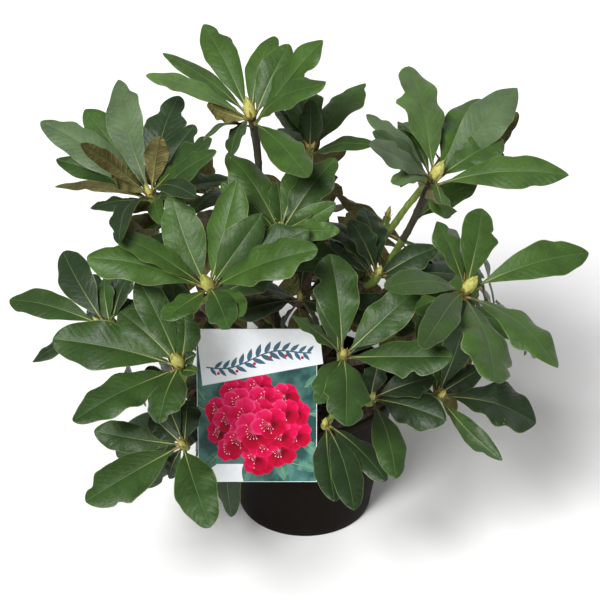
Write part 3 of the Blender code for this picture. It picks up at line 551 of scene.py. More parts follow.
def shoot_limb(shoot: Shoot, base: Vector, direction: Vector) -> Limb:
    """A shoot's stem from its knuckle, with the bud on its end.

    Args:
        shoot: The shoot.
        base: Middle of its knuckle.
        direction: Direction in which it leaves the knuckle.

    Returns:
        The stem's axis and radii.
    """
    points = shoot_path(shoot, base, direction, SHOOT_START, SHOOT_STEPS)
    radii = [SHOOT_START_RADIUS] + [shoot.radius] * (len(points) - 2) + [0.85 * shoot.radius]
    length, radius = bud_size(shoot)
    centre = Vector(shoot.centre) * MM
    for share, across in ((0.45, 1.0), (1.0, 0.12)):
        points.append(centre + shoot_axis(centre) * (length * share))
        radii.append(radius * across)
    return Limb(points, radii)


def card_place() -> Matrix:
    """Where the card stands: its middle, leaned back."""
    return Matrix.Translation(CARD_CENTRE) @ Matrix.Rotation(-CARD_LEAN, 4, "X")


def box_surface(width: float, depth: float, height: float, place: Matrix) -> Placed:
    """A box of a size along X, Y and Z that leaves keep clear of, where it stands."""
    size = Vector((width, depth, height)) / 2
    return Placed([place @ (Vector(corner) * size) for corner in BOX_CORNERS], BOX_FACES)


def seen(point: Vector) -> tuple[float, float]:
    """Where a point shows from the front, in millimetres right of and above the view's middle.

    Args:
        point: The point.

    Returns:
        Its place to the right and upward.
    """
    offset = point - VIEW_CENTRE
    scale = VIEW_DISTANCE / (VIEW_DISTANCE - offset.dot(TOWARD)) / MM
    return offset.dot(RIGHT) * scale, offset.dot(UP) * scale


def within(point: Vector, box: Sequence[float]) -> bool:
    """Tells whether a point shows inside a box of the view: left, bottom, right and top."""
    x, y = seen(point)
    return box[0] < x < box[2] and box[1] < y < box[3]


def in_the_way(root: Vector, tip: Vector) -> bool:
    """Tells whether a leaf would close an open part of the view or stand before the card.

    Args:
        root: Where the leaf starts.
        tip: Where it ends.

    Returns:
        True where it would.
    """
    front = card_place().to_3x3() @ Vector((0, -1, 0))
    for share in (0.4, 0.6, 0.8, 1.0):
        point = root + (tip - root) * share
        hidden = any(within(point, box) for box in HIDDEN_VIEW)
        if share > 0.5 and not hidden and any(within(point, box) for box in OPEN_VIEW):
            return True
        if within(point, CARD_VIEW) and (point - CARD_CENTRE).dot(front) > 0:
            return True
    return False


def cone_of(centre: Vector) -> float:
    """How far a whorl's leaves lie from its axis: they stand up more on the high shoots."""
    return CONE - CONE_FALL * (centre.z - CONE_HEIGHT)


# A leaf's tip, its normal and its width
Aim = tuple[Vector, Vector, float]


def leaf_toward(shoot: Shoot, spec: tuple, turn: float, nudge: float, shrink: float) -> Aim:
    """Finds a leaf that is given by how it looks from the front.

    Args:
        shoot: The shoot that it stands on.
        spec: Its clock angle, seen reach and width, then its roll and its tilt if known.
        turn: Degrees that it is turned from its clock angle.
        nudge: Degrees that it is swung toward the front.
        shrink: Share of its length that it keeps.

    Returns:
        Where it goes.
    """
    clock, reach, width = spec[:3]
    centre = Vector(shoot.centre) * MM
    axis = shoot_axis(centre)
    c, s = unit(clock + turn)
    flat = RIGHT * c + UP * s
    most = max(LEAF_LENGTH_MOST, reach * 1.03)
    limit = math.acos(min(1.0, reach / most))
    if len(spec) > 4:
        tilt = math.radians(spec[4])
    else:
        p, q = flat.dot(axis), TOWARD.dot(axis)
        swing = math.acos(max(-1.0, min(1.0, math.cos(math.radians(cone_of(centre))) / math.hypot(p, q))))
        sides = (math.atan2(q, p) + swing, math.atan2(q, p) - swing)
        tilt = min(((side + math.pi) % (2 * math.pi) - math.pi for side in sides), key=abs)
    tilt = max(-limit, min(limit, tilt))
    tilt = max(-TILT_MOST, min(TILT_MOST, tilt + math.radians(nudge)))
    offset = centre - VIEW_CENTRE
    away = VIEW_DISTANCE - offset.dot(TOWARD)
    nearer = reach * MM * math.tan(tilt)
    place = offset - TOWARD * offset.dot(TOWARD)
    chord = (place + flat * reach * MM) * (1 - nearer / away) - place + TOWARD * nearer
    direction = chord.normalized()
    length = min(chord.length / MM, most) * shrink
    normal = (axis - direction * axis.dot(direction)).normalized()
    normal = Quaternion(direction, math.radians(spec[3] if len(spec) > 3 else 0)) @ normal
    return centre + direction * (length * MM), normal, width * MM


def leaf_around(centre: Vector, axis: Vector, bearing: float, rise: float, length: float) -> Aim:
    """Finds a leaf that the seeded rule sets round a stem.

    Args:
        centre: The upper end of the stretch of stem that it roots in.
        axis: The stem's direction there.
        bearing: Degrees round the stem.
        rise: Degrees between the leaf and the stem.
        length: The leaf's length.

    Returns:
        Where it goes.
    """
    out = Quaternion(axis, math.radians(bearing)) @ axis.orthogonal().normalized()
    direction = out * math.sin(math.radians(rise)) + axis * math.cos(math.radians(rise))
    upright = axis if axis.angle(direction) > 0.3 else out
    normal = (upright - direction * upright.dot(direction)).normalized()
    return centre + direction * length, normal, length * LEAF_RATIO


class Crown:
    """Sets every leaf of the bush clear of the limbs and of the other shoots' leaves."""

    def __init__(self, fixed: dict[str, Placed], stems: dict[str, list[Vector]]) -> None:
        """Starts with bare shoots.

        Args:
            fixed: Surfaces that the leaves keep clear of, by name.
            stems: Points of each shoot's stem, by the shoot's name.
        """
        self.fixed = fixed
        self.stems = stems
        self.leaves: dict[str, list[Leaf]] = {name: [] for name in SHOOTS}
        self.whole: dict[str, list[Placed]] = {name: [] for name in SHOOTS}
        self.outer: dict[str, list[Placed]] = {name: [] for name in SHOOTS}

    def place(self, name: str, root: Vector, aim: Aim, draw: random.Random) -> bool:
        """Sets a leaf where it has room.

        Args:
            name: Its shoot's name.
            root: Where it starts.
            aim: Where it goes.
            draw: The draw that gives its arch and fold.

        Returns:
            True where it was set.
        """
        arch = draw.uniform(0.03, 0.09)
        leaf = Leaf(root, *aim, arch, math.radians(draw.uniform(3, 17)))
        outer = leaf.room(STATIONS[2:])
        if any(outer.meets(other) for other in self.outer[name] + [self.fixed[name]]):
            return False
        whole = leaf.room((0.06,) + STATIONS[1:])
        for other in self.fixed:
            things = [self.fixed[other]] + self.whole.get(other, [])
            if other != name and any(whole.meets(thing) for thing in things):
                return False
        for kept, thing in ((self.leaves, leaf), (self.whole, whole), (self.outer, outer)):
            kept[name].append(thing)
        return True

    def place_seen(self, name: str, number: int, spec: tuple) -> None:
        """Swings, turns or shortens a leaf of the front until it is clear.

        Args:
            name: Its shoot's name.
            number: Its number in the shoot's table.
            spec: Its entry there.
        """
        low, high = self.whorl_stem(name)
        for shrink, turn, nudge in itertools.product(SHRINKS, TURNS, NUDGES):
            draw = random.Random(f"{SEED} {name} {number}")
            root = high.lerp(low, draw.random())
            if self.place(name, root, leaf_toward(SHOOTS[name], spec, turn, nudge, shrink), draw):
                return

    def place_around(
        self, name: str, label: str, wanted: int, roots: tuple[Vector, Vector], cone: float, size: float
    ) -> None:
        """Sets leaves by the golden angle, in the widest open sides round a stem.

        Args:
            name: The shoot's name.
            label: A word that starts the draw.
            wanted: How many leaves it looks for.
            roots: The ends of the stretch of stem that they root in.
            cone: Degrees between the leaves and the stem.
            size: Share of a full leaf's length.
        """
        draw = random.Random(f"{SEED} {name} {label}")
        low, high = roots
        start = draw.uniform(0, 360)
        made = 0
        for i in range(TRIES):
            if made == wanted:
                break
            root = low.lerp(high, draw.random())
            rise = cone + draw.uniform(-8, 16) - (12 if i % 4 == 3 else 0)
            length = LEAF_LENGTH * MM * size * draw.uniform(0.72, 1.0) * (1 if i < SMALLER_FROM else 0.8)
            aim = leaf_around(high, (high - low).normalized(), start + GOLDEN_ANGLE * i, rise, length)
            before = SHOOTS[name].leaves and (aim[0] - high).dot(TOWARD) > 0.1 * length
            if before or in_the_way(high, aim[0]) or self.near(name, root, aim[0]):
                continue
            made += self.place(name, root, aim, draw)

    def whorl_stem(self, name: str) -> tuple[Vector, Vector]:
        """The ends of the stretch of stem below the bud that the whorl's leaves root in."""
        below, high = self.stems[name][-2:]
        return high + (below - high) * min(1.0, WHORL_DEPTH / (below - high).length), high

    def fill(self, name: str) -> None:
        """Fills a whorl's open sides, and sets older leaves lower down on a long stem.

        Args:
            name: The shoot's name.
        """
        shoot, stem = SHOOTS[name], self.stems[name]
        low, high = self.whorl_stem(name)
        self.place_around(name, "whorl", shoot.fill, (low, high), cone_of(high), 1.0)
        if path_length(stem) < OLD_STEM_LENGTH:
            return
        for share in OLD_LEAF_SHARE:
            k, part = divmod(share * (len(stem) - 1), 1)
            above = stem[int(k) + 1]
            point = stem[int(k)].lerp(above, part)
            roots = (point, point.lerp(above, 0.3))
            self.place_around(name, f"old {share}", shoot.old, roots, OLD_CONE, 0.86)

    def near(self, name: str, root: Vector, tip: Vector) -> bool:
        """Tells whether a leaf with its root close by already takes much the same way."""
        close = [leaf for leaf in self.leaves[name] if (leaf.root - root).length < 2 * WHORL_DEPTH]
        return any((tip - root).angle(leaf.tip - leaf.root) < math.radians(ALIKE) for leaf in close)

    def grow(self) -> None:
        """Sets the leaves of the front first, and then those of the rule."""
        for name in SHOOTS:
            for number, spec in enumerate(SHOOTS[name].leaves):
                self.place_seen(name, number, spec)
        for name in SHOOTS:
            self.fill(name)


@dataclass
class Bush:
    """The whole bush as axes, radii and leaves, before any of it is meshed."""

    trunk: Limb = field(default_factory=trunk_limb)
    boughs: dict[str, Limb] = field(default_factory=dict)
    shoots: dict[str, Limb] = field(default_factory=dict)
    starts: dict[str, tuple[Vector, Vector]] = field(default_factory=dict)
    leaves: dict[str, list[Leaf]] = field(default_factory=dict)

    def grow(self) -> None:
        """Grows boughs, then shoots, then leaves."""
        self.boughs = {name: bough_limb(self.trunk, *spec) for name, spec in BOUGHS.items()}
        for bough, limb in self.boughs.items():
            names = [name for name, shoot in SHOOTS.items() if shoot.bough == bough]
            base = Vector(BOUGHS[bough][2]) * MM
            aims = []
            for name in names:
                first = (*SHOOTS[name].via, SHOOTS[name].centre)[0]
                aims.append((Vector(first) * MM - base).normalized() + Vector((0, 0, 0.25)))
            for name, direction in zip(names, spread(aims, (limb.points[-6] - base).normalized())):
                self.starts[name] = (base, direction)
                self.shoots[name] = shoot_limb(SHOOTS[name], base, direction)
        stems = {name: limb.points[:-BUD_STEPS] for name, limb in self.shoots.items()}
        crown = Crown(self.obstacles(), stems)
        crown.grow()
        self.leaves = crown.leaves

    def obstacles(self) -> dict[str, Placed]:
        """Makes the surfaces that leaves keep clear of.

        Returns:
            The surfaces by name.
        """
        fixed = {name: limb.tree() for name, limb in self.shoots.items()}
        fixed.update({"bough_" + name: limb.tree() for name, limb in self.boughs.items()})
        fixed["trunk"] = self.trunk.tree()
        pot_axis = [Vector((0, 0, z * MM)) for z in (0, 0.1, 138, 139, 151, 151.1)]
        rim = RIM_RADIUS + GAP
        fixed["pot"] = Limb(pot_axis, [1 * MM, BASE_RADIUS, RIM_RADIUS - 2 * MM, rim, rim, 1 * MM]).tree(24)
        wide = CARD_WIDTH + 2 * BANNER_OVERHANG
        fixed["card"] = box_surface(wide, CARD_THICKNESS, CARD_HEIGHT, card_place())
        foot = card_place() @ Vector((TONGUE_OFFSET, CARD_THICKNESS / 2 + GAP + TONGUE_THICKNESS / 2, 0))
        middle = (foot + Vector((foot.x, TONGUE_ENTRY.y, TONGUE_ENTRY.z))) / 2
        fixed["tongue"] = box_surface(TONGUE_WIDTH, 30 * MM, 50 * MM, Matrix.Translation(middle))
        return fixed


def operator(operation: str, reflected: bool = False) -> Callable[..., "Signal"]:
    """Makes the method that adds a Math node for one of Python's operators.

    Args:
        operation: The node's operation.
        reflected: Whether the other value comes first.

    Returns:
        The method.
    """

    def method(signal: "Signal", *others: "Signal | float") -> "Signal":
        """Adds the node."""
        return signal.maths(operation, *((*others, signal) if reflected else (signal, *others)))

    return method


class Signal:
    """A number that varies over a surface, worked with as an ordinary expression."""

    def __init__(self, recipe: "Recipe", socket: bpy.types.NodeSocket) -> None:
        """Wraps a socket of a recipe's tree."""
        self.recipe, self.socket = recipe, socket

    def maths(self, operation: str, *values: "Signal | float") -> "Signal":
        """Adds one Math node, with its inputs in order."""
        made = self.recipe.node("ShaderNodeMath", {"operation": operation}, dict(enumerate(values)))
        return Signal(self.recipe, made.outputs[0])

    __add__, __radd__ = operator("ADD"), operator("ADD", reflected=True)
    __sub__, __rsub__ = operator("SUBTRACT"), operator("SUBTRACT", reflected=True)
    __mul__, __rmul__ = operator("MULTIPLY"), operator("MULTIPLY", reflected=True)
    __truediv__ = operator("DIVIDE")
    __abs__ = operator("ABSOLUTE")
    fraction = operator("FRACT")

    def rise(self, low: float, high: float) -> "Signal":
        """Smooth step from 0 at low to 1 at high."""
        limits = {0: self, 1: low, 2: high, 3: 0.0, 4: 1.0}
        made = self.recipe.node("ShaderNodeMapRange", {"interpolation_type": "SMOOTHSTEP"}, limits)
        return Signal(self.recipe, made.outputs[0])


class Recipe:
    """A material's node tree round its Principled shader."""

    def __init__(self, name: str, roughness: float, gloss: float = 0.5) -> None:
        """Starts a material.

        Args:
            name: Its name.
            roughness: Roughness where nothing varies it.
            gloss: How strongly it mirrors.
        """
        self.material = bpy.data.materials.new(name)
        self.material.use_nodes = True
        self.tree = self.material.node_tree
        self.shader = self.tree.nodes["Principled BSDF"]
        self.shader.inputs["Roughness"].default_value = roughness
        self.shader.inputs["Specular IOR Level"].default_value = gloss

    def feed(self, socket: bpy.types.NodeSocket, value: object) -> None:
        """Links a signal or a socket to a socket, or sets its value."""
        value = value.socket if isinstance(value, Signal) else value
        if isinstance(value, bpy.types.NodeSocket):
            self.tree.links.new(value, socket)
        else:
            socket.default_value = value

    def node(self, kind: str, settings: dict | None = None, values: dict | None = None) -> bpy.types.Node:
        """Adds a node.

        Args:
            kind: The node's type.
            settings: Its settings.
            values: Values or links of its inputs, by name or number.

        Returns:
            The node.
        """
        made = self.tree.nodes.new(kind)
        for key, value in (settings or {}).items():
            setattr(made, key, value)
        for key, value in (values or {}).items():
            self.feed(made.inputs[key], value)
        return made

    def place(self) -> bpy.types.NodeSocket:
        """The point in the object's own coordinates."""
        return self.node("ShaderNodeTexCoord").outputs["Object"]

    def on_blade(self) -> tuple[Signal, Signal]:
        """Millimetres along and across a leaf, from its own map."""
        split = self.node("ShaderNodeSeparateXYZ", None, {0: self.node("ShaderNodeTexCoord").outputs["UV"]})
        along, across = (Signal(self, split.outputs[i]) for i in (0, 1))
        return along * MAP_SPAN, (across - 0.5) * MAP_SPAN

    def noise(
        self, grain: float, detail: float = 3.0,
        stretch: tuple[float, float, float] = (1, 1, 1), seed: float = 0.0
    ) -> Signal:
        """Soft noise.

        Args:
            grain: Size of its blotches, in metres.
            detail: How many finer layers it has.
            stretch: How much it is squeezed along each axis.
            seed: How far it is shifted.

        Returns:
            Values round 0.5.
        """
        limits = {"Vector": self.place(), "Location": (seed, seed, seed), "Scale": stretch}
        moved = self.node("ShaderNodeMapping", {"vector_type": "POINT"}, limits).outputs[0]
        values = {"Vector": moved, "Scale": 1 / grain, "Detail": detail}
        return Signal(self, self.node("ShaderNodeTexNoise", None, values).outputs[0])

    def cells(self, grain: float) -> Signal:
        """Distance to the nearest cell of a scattered pattern whose cells have a size in metres."""
        values = {"Vector": self.place(), "Scale": 1 / grain}
        return Signal(self, self.node("ShaderNodeTexVoronoi", {"feature": "F1"}, values).outputs[0])

    def mix(self, share: Signal | float, first: object, second: object) -> bpy.types.NodeSocket:
        """Mixes a share of the second colour into the first."""
        settings = {"data_type": "RGBA", "blend_type": "MIX"}
        return self.node("ShaderNodeMix", settings, {0: share, 6: first, 7: second}).outputs[2]

    def colour(self, value: object) -> None:
        """Sets or links the base colour."""
        self.feed(self.shader.inputs["Base Color"], value)

    def rough(self, value: Signal) -> None:
        """Links the roughness."""
        self.feed(self.shader.inputs["Roughness"], value)

    def relief(self, height: Signal, depth: float, strength: float) -> None:
        """Gives the surface a fine relief of a full depth, in metres."""
        bump = self.node("ShaderNodeBump", None, {"Strength": strength, "Distance": depth, "Height": height})
        self.feed(self.shader.inputs["Normal"], bump.outputs[0])


def shade(colour: Colour, factor: float) -> Colour:
    """The colour made lighter or darker."""
    return (colour[0] * factor, colour[1] * factor, colour[2] * factor, 1.0)


@dataclass(frozen=True)
class LeafFace:
    """Upper face of a leaf: leathery green, puffed a little between its side veins."""

    name: str
    colour: Colour

    def make(self) -> bpy.types.Material:
        """Builds the material."""
        r = Recipe(self.name, 0.5, gloss=0.36)
        along, across = r.on_blade()
        reach = abs(across)
        cloud = r.noise(30 * MM, 3.0)
        bend = r.noise(11 * MM, 2.0, seed=8.0)
        run = along - reach * VEIN_SLANT - reach * reach * VEIN_CURVE + bend * 5.0
        beat = (run / VEIN_PITCH).fraction()
        offset = abs(beat - 0.5) * 2.0
        vein = offset.rise(0.80, 1.0) * reach.rise(0.5, 4.0)
        net = r.cells(2.1 * MM).rise(0.2, 0.8)
        mottle = r.noise(4 * MM, 4.0, seed=3.1)
        body = r.mix(cloud.rise(0.35, 0.68), shade(self.colour, 0.80), shade(self.colour, 1.20))
        body = r.mix(mottle.rise(0.45, 0.70) * 0.22, body, shade(self.colour, 1.5))
        red, green, blue, _ = self.colour
        r.colour(r.mix(vein * 0.16, body, (red * 1.9 + 0.01, green * 1.6 + 0.01, blue * 1.4, 1)))
        r.rough(0.36 + 0.22 * mottle + 0.10 * cloud)
        puff = (1.0 - offset * offset) * reach.rise(1.0, 6.0)
        r.relief(puff * 0.24 + net * 0.14 + mottle * 0.40, 0.9 * MM, 0.75)
        return r.material


@dataclass(frozen=True)
class LeafBack:
    """Underside of a leaf: khaki, matt, with side veins that stand out."""

    name: str = "leaf_back"
    colour: Colour = (0.150, 0.135, 0.040, 1)
    brown: Colour = (0.105, 0.080, 0.026, 1)
    vein: Colour = (0.24, 0.205, 0.075, 1)

    def make(self) -> bpy.types.Material:
        """Builds the material."""
        r = Recipe(self.name, 0.62, gloss=0.3)
        along, across = r.on_blade()
        reach = abs(across)
        beat = ((along - reach * VEIN_SLANT - reach * reach * VEIN_CURVE) / VEIN_PITCH).fraction()
        vein = (abs(beat - 0.5) * 2.0).rise(0.66, 0.98) * reach.rise(0.3, 2.5)
        mottle = r.noise(4 * MM, 4.0)
        body = r.mix(mottle.rise(0.35, 0.7), shade(self.colour, 0.76), shade(self.colour, 1.2))
        body = r.mix(r.noise(18 * MM, 2.0, seed=2.0).rise(0.45, 0.66) * 0.8, body, self.brown)
        r.colour(r.mix(vein * 0.4, body, self.vein))
        r.rough(0.52 + 0.2 * mottle)
        r.relief(vein + mottle * 0.25, 0.6 * MM, 0.7)
        return r.material


@dataclass(frozen=True)
class Stalk:
    """Leaf stalks, margins and buds: pale plant tissue with fine lengthwise streaks."""

    name: str
    colour: Colour
    flush: Colour
    share: float = 0.5

    def make(self) -> bpy.types.Material:
        """Builds the material."""
        r = Recipe(self.name, 0.5)
        streak = r.noise(6 * MM, 3.0)
        grain = r.noise(1.2 * MM, 2.0, seed=1.7)
        r.colour(r.mix(streak.rise(0.36, 0.66) * self.share, self.colour, self.flush))
        r.rough(0.42 + 0.2 * grain)
        r.relief(grain, 0.15 * MM, 0.5)
        return r.material


@dataclass(frozen=True)
class Midrib:
    """The midrib of a leaf: pale by the stalk and greener toward the tip."""

    name: str = "leaf_rib"
    base: Colour = (0.290, 0.290, 0.085, 1)
    end: Colour = (0.078, 0.140, 0.038, 1)
    reach: float = 60.0

    def make(self) -> bpy.types.Material:
        """Builds the material."""
        r = Recipe(self.name, 0.45)
        along, _ = r.on_blade()
        grain = r.noise(1.5 * MM, 3.0)
        r.colour(r.mix((along + grain * 12.0).rise(8.0, self.reach), self.base, self.end))
        r.rough(0.38 + 0.2 * grain)
        r.relief(grain, 0.15 * MM, 0.5)
        return r.material


@dataclass(frozen=True)
class Bark:
    """Old wood or a shoot's skin: streaks, cracks and pale pores."""

    name: str
    colour: Colour
    crack: Colour
    pore: Colour
    grain: float = 5 * MM
    depth: float = 0.9 * MM
    roughness: float = 0.8

    def make(self) -> bpy.types.Material:
        """Builds the material."""
        r = Recipe(self.name, self.roughness)
        plates = r.noise(self.grain, 5.0, (1, 1, 0.28))
        fine = r.noise(self.grain * 0.22, 4.0, (1, 1, 0.5), seed=5.3)
        pores = 1.0 - r.cells(self.grain * 0.55).rise(0.12, 0.22)
        body = r.mix(plates.rise(0.36, 0.64), self.crack, self.colour)
        body = r.mix(fine.rise(0.5, 0.72) * 0.45, body, shade(self.colour, 1.7))
        r.colour(r.mix(pores * 0.35, body, self.pore))
        r.rough(self.roughness - 0.12 + 0.24 * fine)
        r.relief(plates * 0.7 + fine * 0.3 + pores * 0.15, self.depth, 0.85)
        return r.material


@dataclass(frozen=True)
class PotPlastic:
    """Dull black plastic with fine speckle, a little dust and light scuffs."""

    name: str = "pot_plastic"
    colour: Colour = (0.0062, 0.0040, 0.0022, 1)
    film: Colour = (0.010, 0.007, 0.005, 1)
    dust: Colour = (0.050, 0.038, 0.028, 1)
    scuff: Colour = (0.035, 0.029, 0.024, 1)

    def make(self) -> bpy.types.Material:
        """Builds the material."""
        r = Recipe(self.name, 0.5, gloss=0.05)
        speckle = 1.0 - r.cells(2.2 * MM).rise(0.06, 0.20)
        film = r.noise(22 * MM, 4.0)
        scuff = r.noise(9 * MM, 5.0, (1, 1, 6), seed=2.2)
        pebble = r.noise(0.9 * MM, 3.0, seed=7.0)
        body = r.mix(film.rise(0.42, 0.75) * 0.4, self.colour, self.film)
        body = r.mix(speckle * film.rise(0.3, 0.6) * 0.5, body, self.dust)
        r.colour(r.mix(scuff.rise(0.62, 0.74) * 0.25, body, self.scuff))
        r.rough(0.36 + 0.22 * film + 0.12 * pebble)
        r.relief(pebble * 0.6 + film * 0.4, 0.25 * MM, 0.5)
        return r.material


@dataclass(frozen=True)
class Compost:
    """Moist peat: nearly black crumbs with fibres and a few pale grains."""

    name: str
    dark: Colour = (0.014, 0.009, 0.006, 1)
    light: Colour = (0.055, 0.034, 0.021, 1)
    fibre: Colour = (0.13, 0.083, 0.050, 1)
    grit: Colour = (0.30, 0.25, 0.19, 1)

    def make(self) -> bpy.types.Material:
        """Builds the material."""
        r = Recipe(self.name, 0.92)
        crumb = r.noise(6 * MM, 6.0)
        fibre = r.noise(2.5 * MM, 5.0, (1, 4, 1), seed=4.0)
        grit = 1.0 - r.cells(5 * MM).rise(0.08, 0.16)
        body = r.mix(crumb.rise(0.38, 0.64), self.dark, self.light)
        body = r.mix(fibre.rise(0.6, 0.74) * 0.5, body, self.fibre)
        r.colour(r.mix(grit * 0.45, body, self.grit))
        r.rough(0.82 + 0.16 * fibre)
        r.relief(crumb * 0.7 + fibre * 0.3, 1.6 * MM, 0.9)
        return r.material


@dataclass(frozen=True)
class Print:
    """Glossy printed card in one ink, with the soft unevenness of a printed picture."""

    name: str
    colour: Colour
    other: Colour
    share: float = 0.5
    grain: float = 5 * MM
    roughness: float = 0.3

    def make(self) -> bpy.types.Material:
        """Builds the material."""
        r = Recipe(self.name, self.roughness, gloss=0.25)
        cloud = r.noise(self.grain, 4.0)
        fleck = r.noise(self.grain * 0.22, 3.0, seed=6.0)
        body = r.mix(cloud.rise(0.36, 0.64) * self.share, self.colour, self.other)
        r.colour(r.mix(fleck.rise(0.5, 0.75) * 0.18 * self.share, body, shade(self.colour, 0.7)))
        r.rough(self.roughness + 0.14 * fleck)
        r.relief(fleck, 0.04 * MM, 0.4)
        return r.material


@dataclass(frozen=True)
class Petal:
    """Printed petal: a deep throat that clears toward a bright rim, finely streaked along."""

    name: str
    throat: Colour
    body: Colour
    rim: Colour

    def make(self) -> bpy.types.Material:
        """Builds the material."""
        r = Recipe(self.name, 0.3, gloss=0.08)
        along, across = (part / span for part, span in zip(r.on_blade(), (MAP_SPAN, MAP_SPAN / 2)))
        cloud = r.noise(7 * MM, 3.0)
        fleck = r.noise(1.6 * MM, 3.0, seed=4.0)
        body = r.mix((along + cloud * 0.4).rise(0.42, 0.95), self.throat, self.body)
        body = r.mix((along + fleck * 0.3 + abs(across) * 0.12).rise(0.98, 1.28), body, self.rim)
        crease = (1.0 - abs(across)).rise(0.86, 1.0) * along.rise(0.15, 0.5)
        r.colour(r.mix(crease * 0.35 + fleck.rise(0.55, 0.8) * 0.25, body, shade(self.body, 0.62)))
        r.rough(0.30 + 0.14 * fleck)
        r.relief(fleck, 0.04 * MM, 0.4)
        return r.material


class Tint(Enum):
    """The greens that are dealt out leaf by leaf, from the shaded inside outward: partly the leaves' own
    tones, partly painted shade on the inner and low leaves and painted light, lighter and greyer greens, on
    the high, outer ones.
    """

    SHADED = LeafFace("leaf_shaded", (0.013, 0.031, 0.008, 1))
    DEEP = LeafFace("leaf_deep", (0.023, 0.056, 0.008, 1))
    MIDDLE = LeafFace("leaf_middle", (0.035, 0.081, 0.010, 1))
    FRESH = LeafFace("leaf_fresh", (0.068, 0.128, 0.030, 1))
    GREYED = LeafFace("leaf_greyed", (0.070, 0.114, 0.048, 1))


class Skin(Enum):
    """The skins of a shoot's stem; the near-black one is painted shade that stands for the shade of the
    leaves above it.
    """

    GREEN = Bark("shoot_green", (0.130, 0.190, 0.020, 1), (0.075, 0.105, 0.014, 1), (0.22, 0.20, 0.07, 1),
                 4 * MM, 0.3 * MM, 0.5)
    BROWN = Bark("shoot_brown", (0.105, 0.066, 0.036, 1), (0.040, 0.024, 0.014, 1), (0.22, 0.17, 0.11, 1),
                 4 * MM, 0.6 * MM, 0.75)
    # Painted shade: a near-black skin for stems that stand in the shade of their whorl
    PAINTED_SHADE = Bark("shoot_painted_shade", (0.034, 0.030, 0.011, 1), (0.016, 0.013, 0.006, 1), (0.10, 0.085, 0.04, 1),
                4 * MM, 0.5 * MM, 0.7)


@functools.cache
def material_of(finish: object) -> bpy.types.Material:
    """The material of a finish, or of an option that holds one, made the first time."""
    return (finish.value if isinstance(finish, Enum) else finish).make()


def hand_in(obj: bpy.types.Object, nodes: Iterable[str] = ()) -> None:
    """Makes a finished object a piece of the plant.

    Args:
        obj: The object, with its place in its mesh.
        nodes: Solids that it stands for.
    """
    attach(obj, "root")
    if nodes:
        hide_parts(*nodes)
    log.info("%s: %d faces", obj.name, len(obj.data.polygons))


def linked(name: str, data: bpy.types.ID) -> bpy.types.Object:
    """Makes the object of a mesh, curve, light or camera.

    Args:
        name: The object's name.
        data: What it holds.

    Returns:
        The object, in the scene.
    """
    obj = bpy.data.objects.new(name, data)
    bpy.context.scene.collection.objects.link(obj)
    return obj


def settle(obj: bpy.types.Object) -> None:
    """Puts an object's place into its mesh, so that it sits unturned at the origin."""
    obj.data.transform(obj.matrix_world)
    obj.matrix_world = Matrix.Identity(4)


def alone(obj: bpy.types.Object) -> None:
    """Selects one object and nothing else."""
    bpy.ops.object.select_all(action="DESELECT")
    obj.select_set(True)
    bpy.context.view_layer.objects.active = obj


def modified(obj: bpy.types.Object, name: str, kind: str, **settings: object) -> None:
    """Adds a modifier and applies it.

    Args:
        obj: The object.
        name: The modifier's name.
        kind: Its type.
        **settings: Its settings.
    """
    alone(obj)
    modifier = obj.modifiers.new(name, kind)
    for key, value in settings.items():
        setattr(modifier, key, value)
    bpy.ops.object.modifier_apply(modifier=name)


def clouded(obj: bpy.types.Object, name: str, size: float, depth: int, **settings: object) -> None:
    """Displaces a surface by soft clouds.

    Args:
        obj: The surface's object.
        name: The relief's name.
        size: Size of its clouds.
        depth: How many finer layers they have.
        **settings: The modifier's other settings.
    """
    cloud = bpy.data.textures.new(name, "CLOUDS")
    cloud.noise_scale, cloud.noise_depth = size, depth
    modified(obj, name, "DISPLACE", texture=cloud, texture_coords="LOCAL", **settings)


def turned(name: str, sides: int, profile: Sequence[tuple[float, float]]) -> bpy.types.Object:
    """Draws a disc up into a turned shape, one extrusion for each point of its profile.

    Args:
        name: The piece's name.
        sides: How many sides it has.
        profile: Radius and height of each ring, from the disc's own.

    Returns:
        The new object.
    """
    bpy.ops.object.select_all(action="DESELECT")
    bpy.ops.mesh.primitive_circle_add(vertices=sides, radius=1.0, fill_type="NGON", location=(0, 0, 0))
    obj = bpy.context.object
    obj.name = obj.data.name = name
    bpy.ops.object.mode_set(mode="EDIT")
    bpy.ops.mesh.select_all(action="SELECT")
    radius, height = profile[0]
    bpy.ops.transform.resize(value=(radius, radius, 1), center_override=(0, 0, 0))
    bpy.ops.transform.translate(value=(0, 0, height))
    for next_radius, next_height in profile[1:]:
        bpy.ops.mesh.extrude_region_move(TRANSFORM_OT_translate={"value": (0, 0, next_height - height)})
        grow = next_radius / radius
        bpy.ops.transform.resize(value=(grow, grow, 1), center_override=(0, 0, next_height))
        radius, height = next_radius, next_height
    bpy.ops.mesh.select_all(action="SELECT")
    bpy.ops.mesh.normals_make_consistent(inside=False)
    bpy.ops.object.mode_set(mode="OBJECT")
    settle(obj)
    return obj


def dressed(obj: bpy.types.Object, finish: object, sharp: float) -> None:
    """Gives an object its one finish, and shades it smooth with edges over an angle left sharp."""
    obj.data.materials.clear()
    obj.data.materials.append(material_of(finish))
    alone(obj)
    bpy.ops.object.shade_smooth_by_angle(angle=math.radians(sharp))


def grid_faces(rows: int, columns: int) -> list[tuple[int, ...]]:
    """Faces of a grid of points, row by row."""
    starts = [i * columns + j for i in range(rows - 1) for j in range(columns - 1)]
    return [(a, a + columns, a + columns + 1, a + 1) for a in starts]


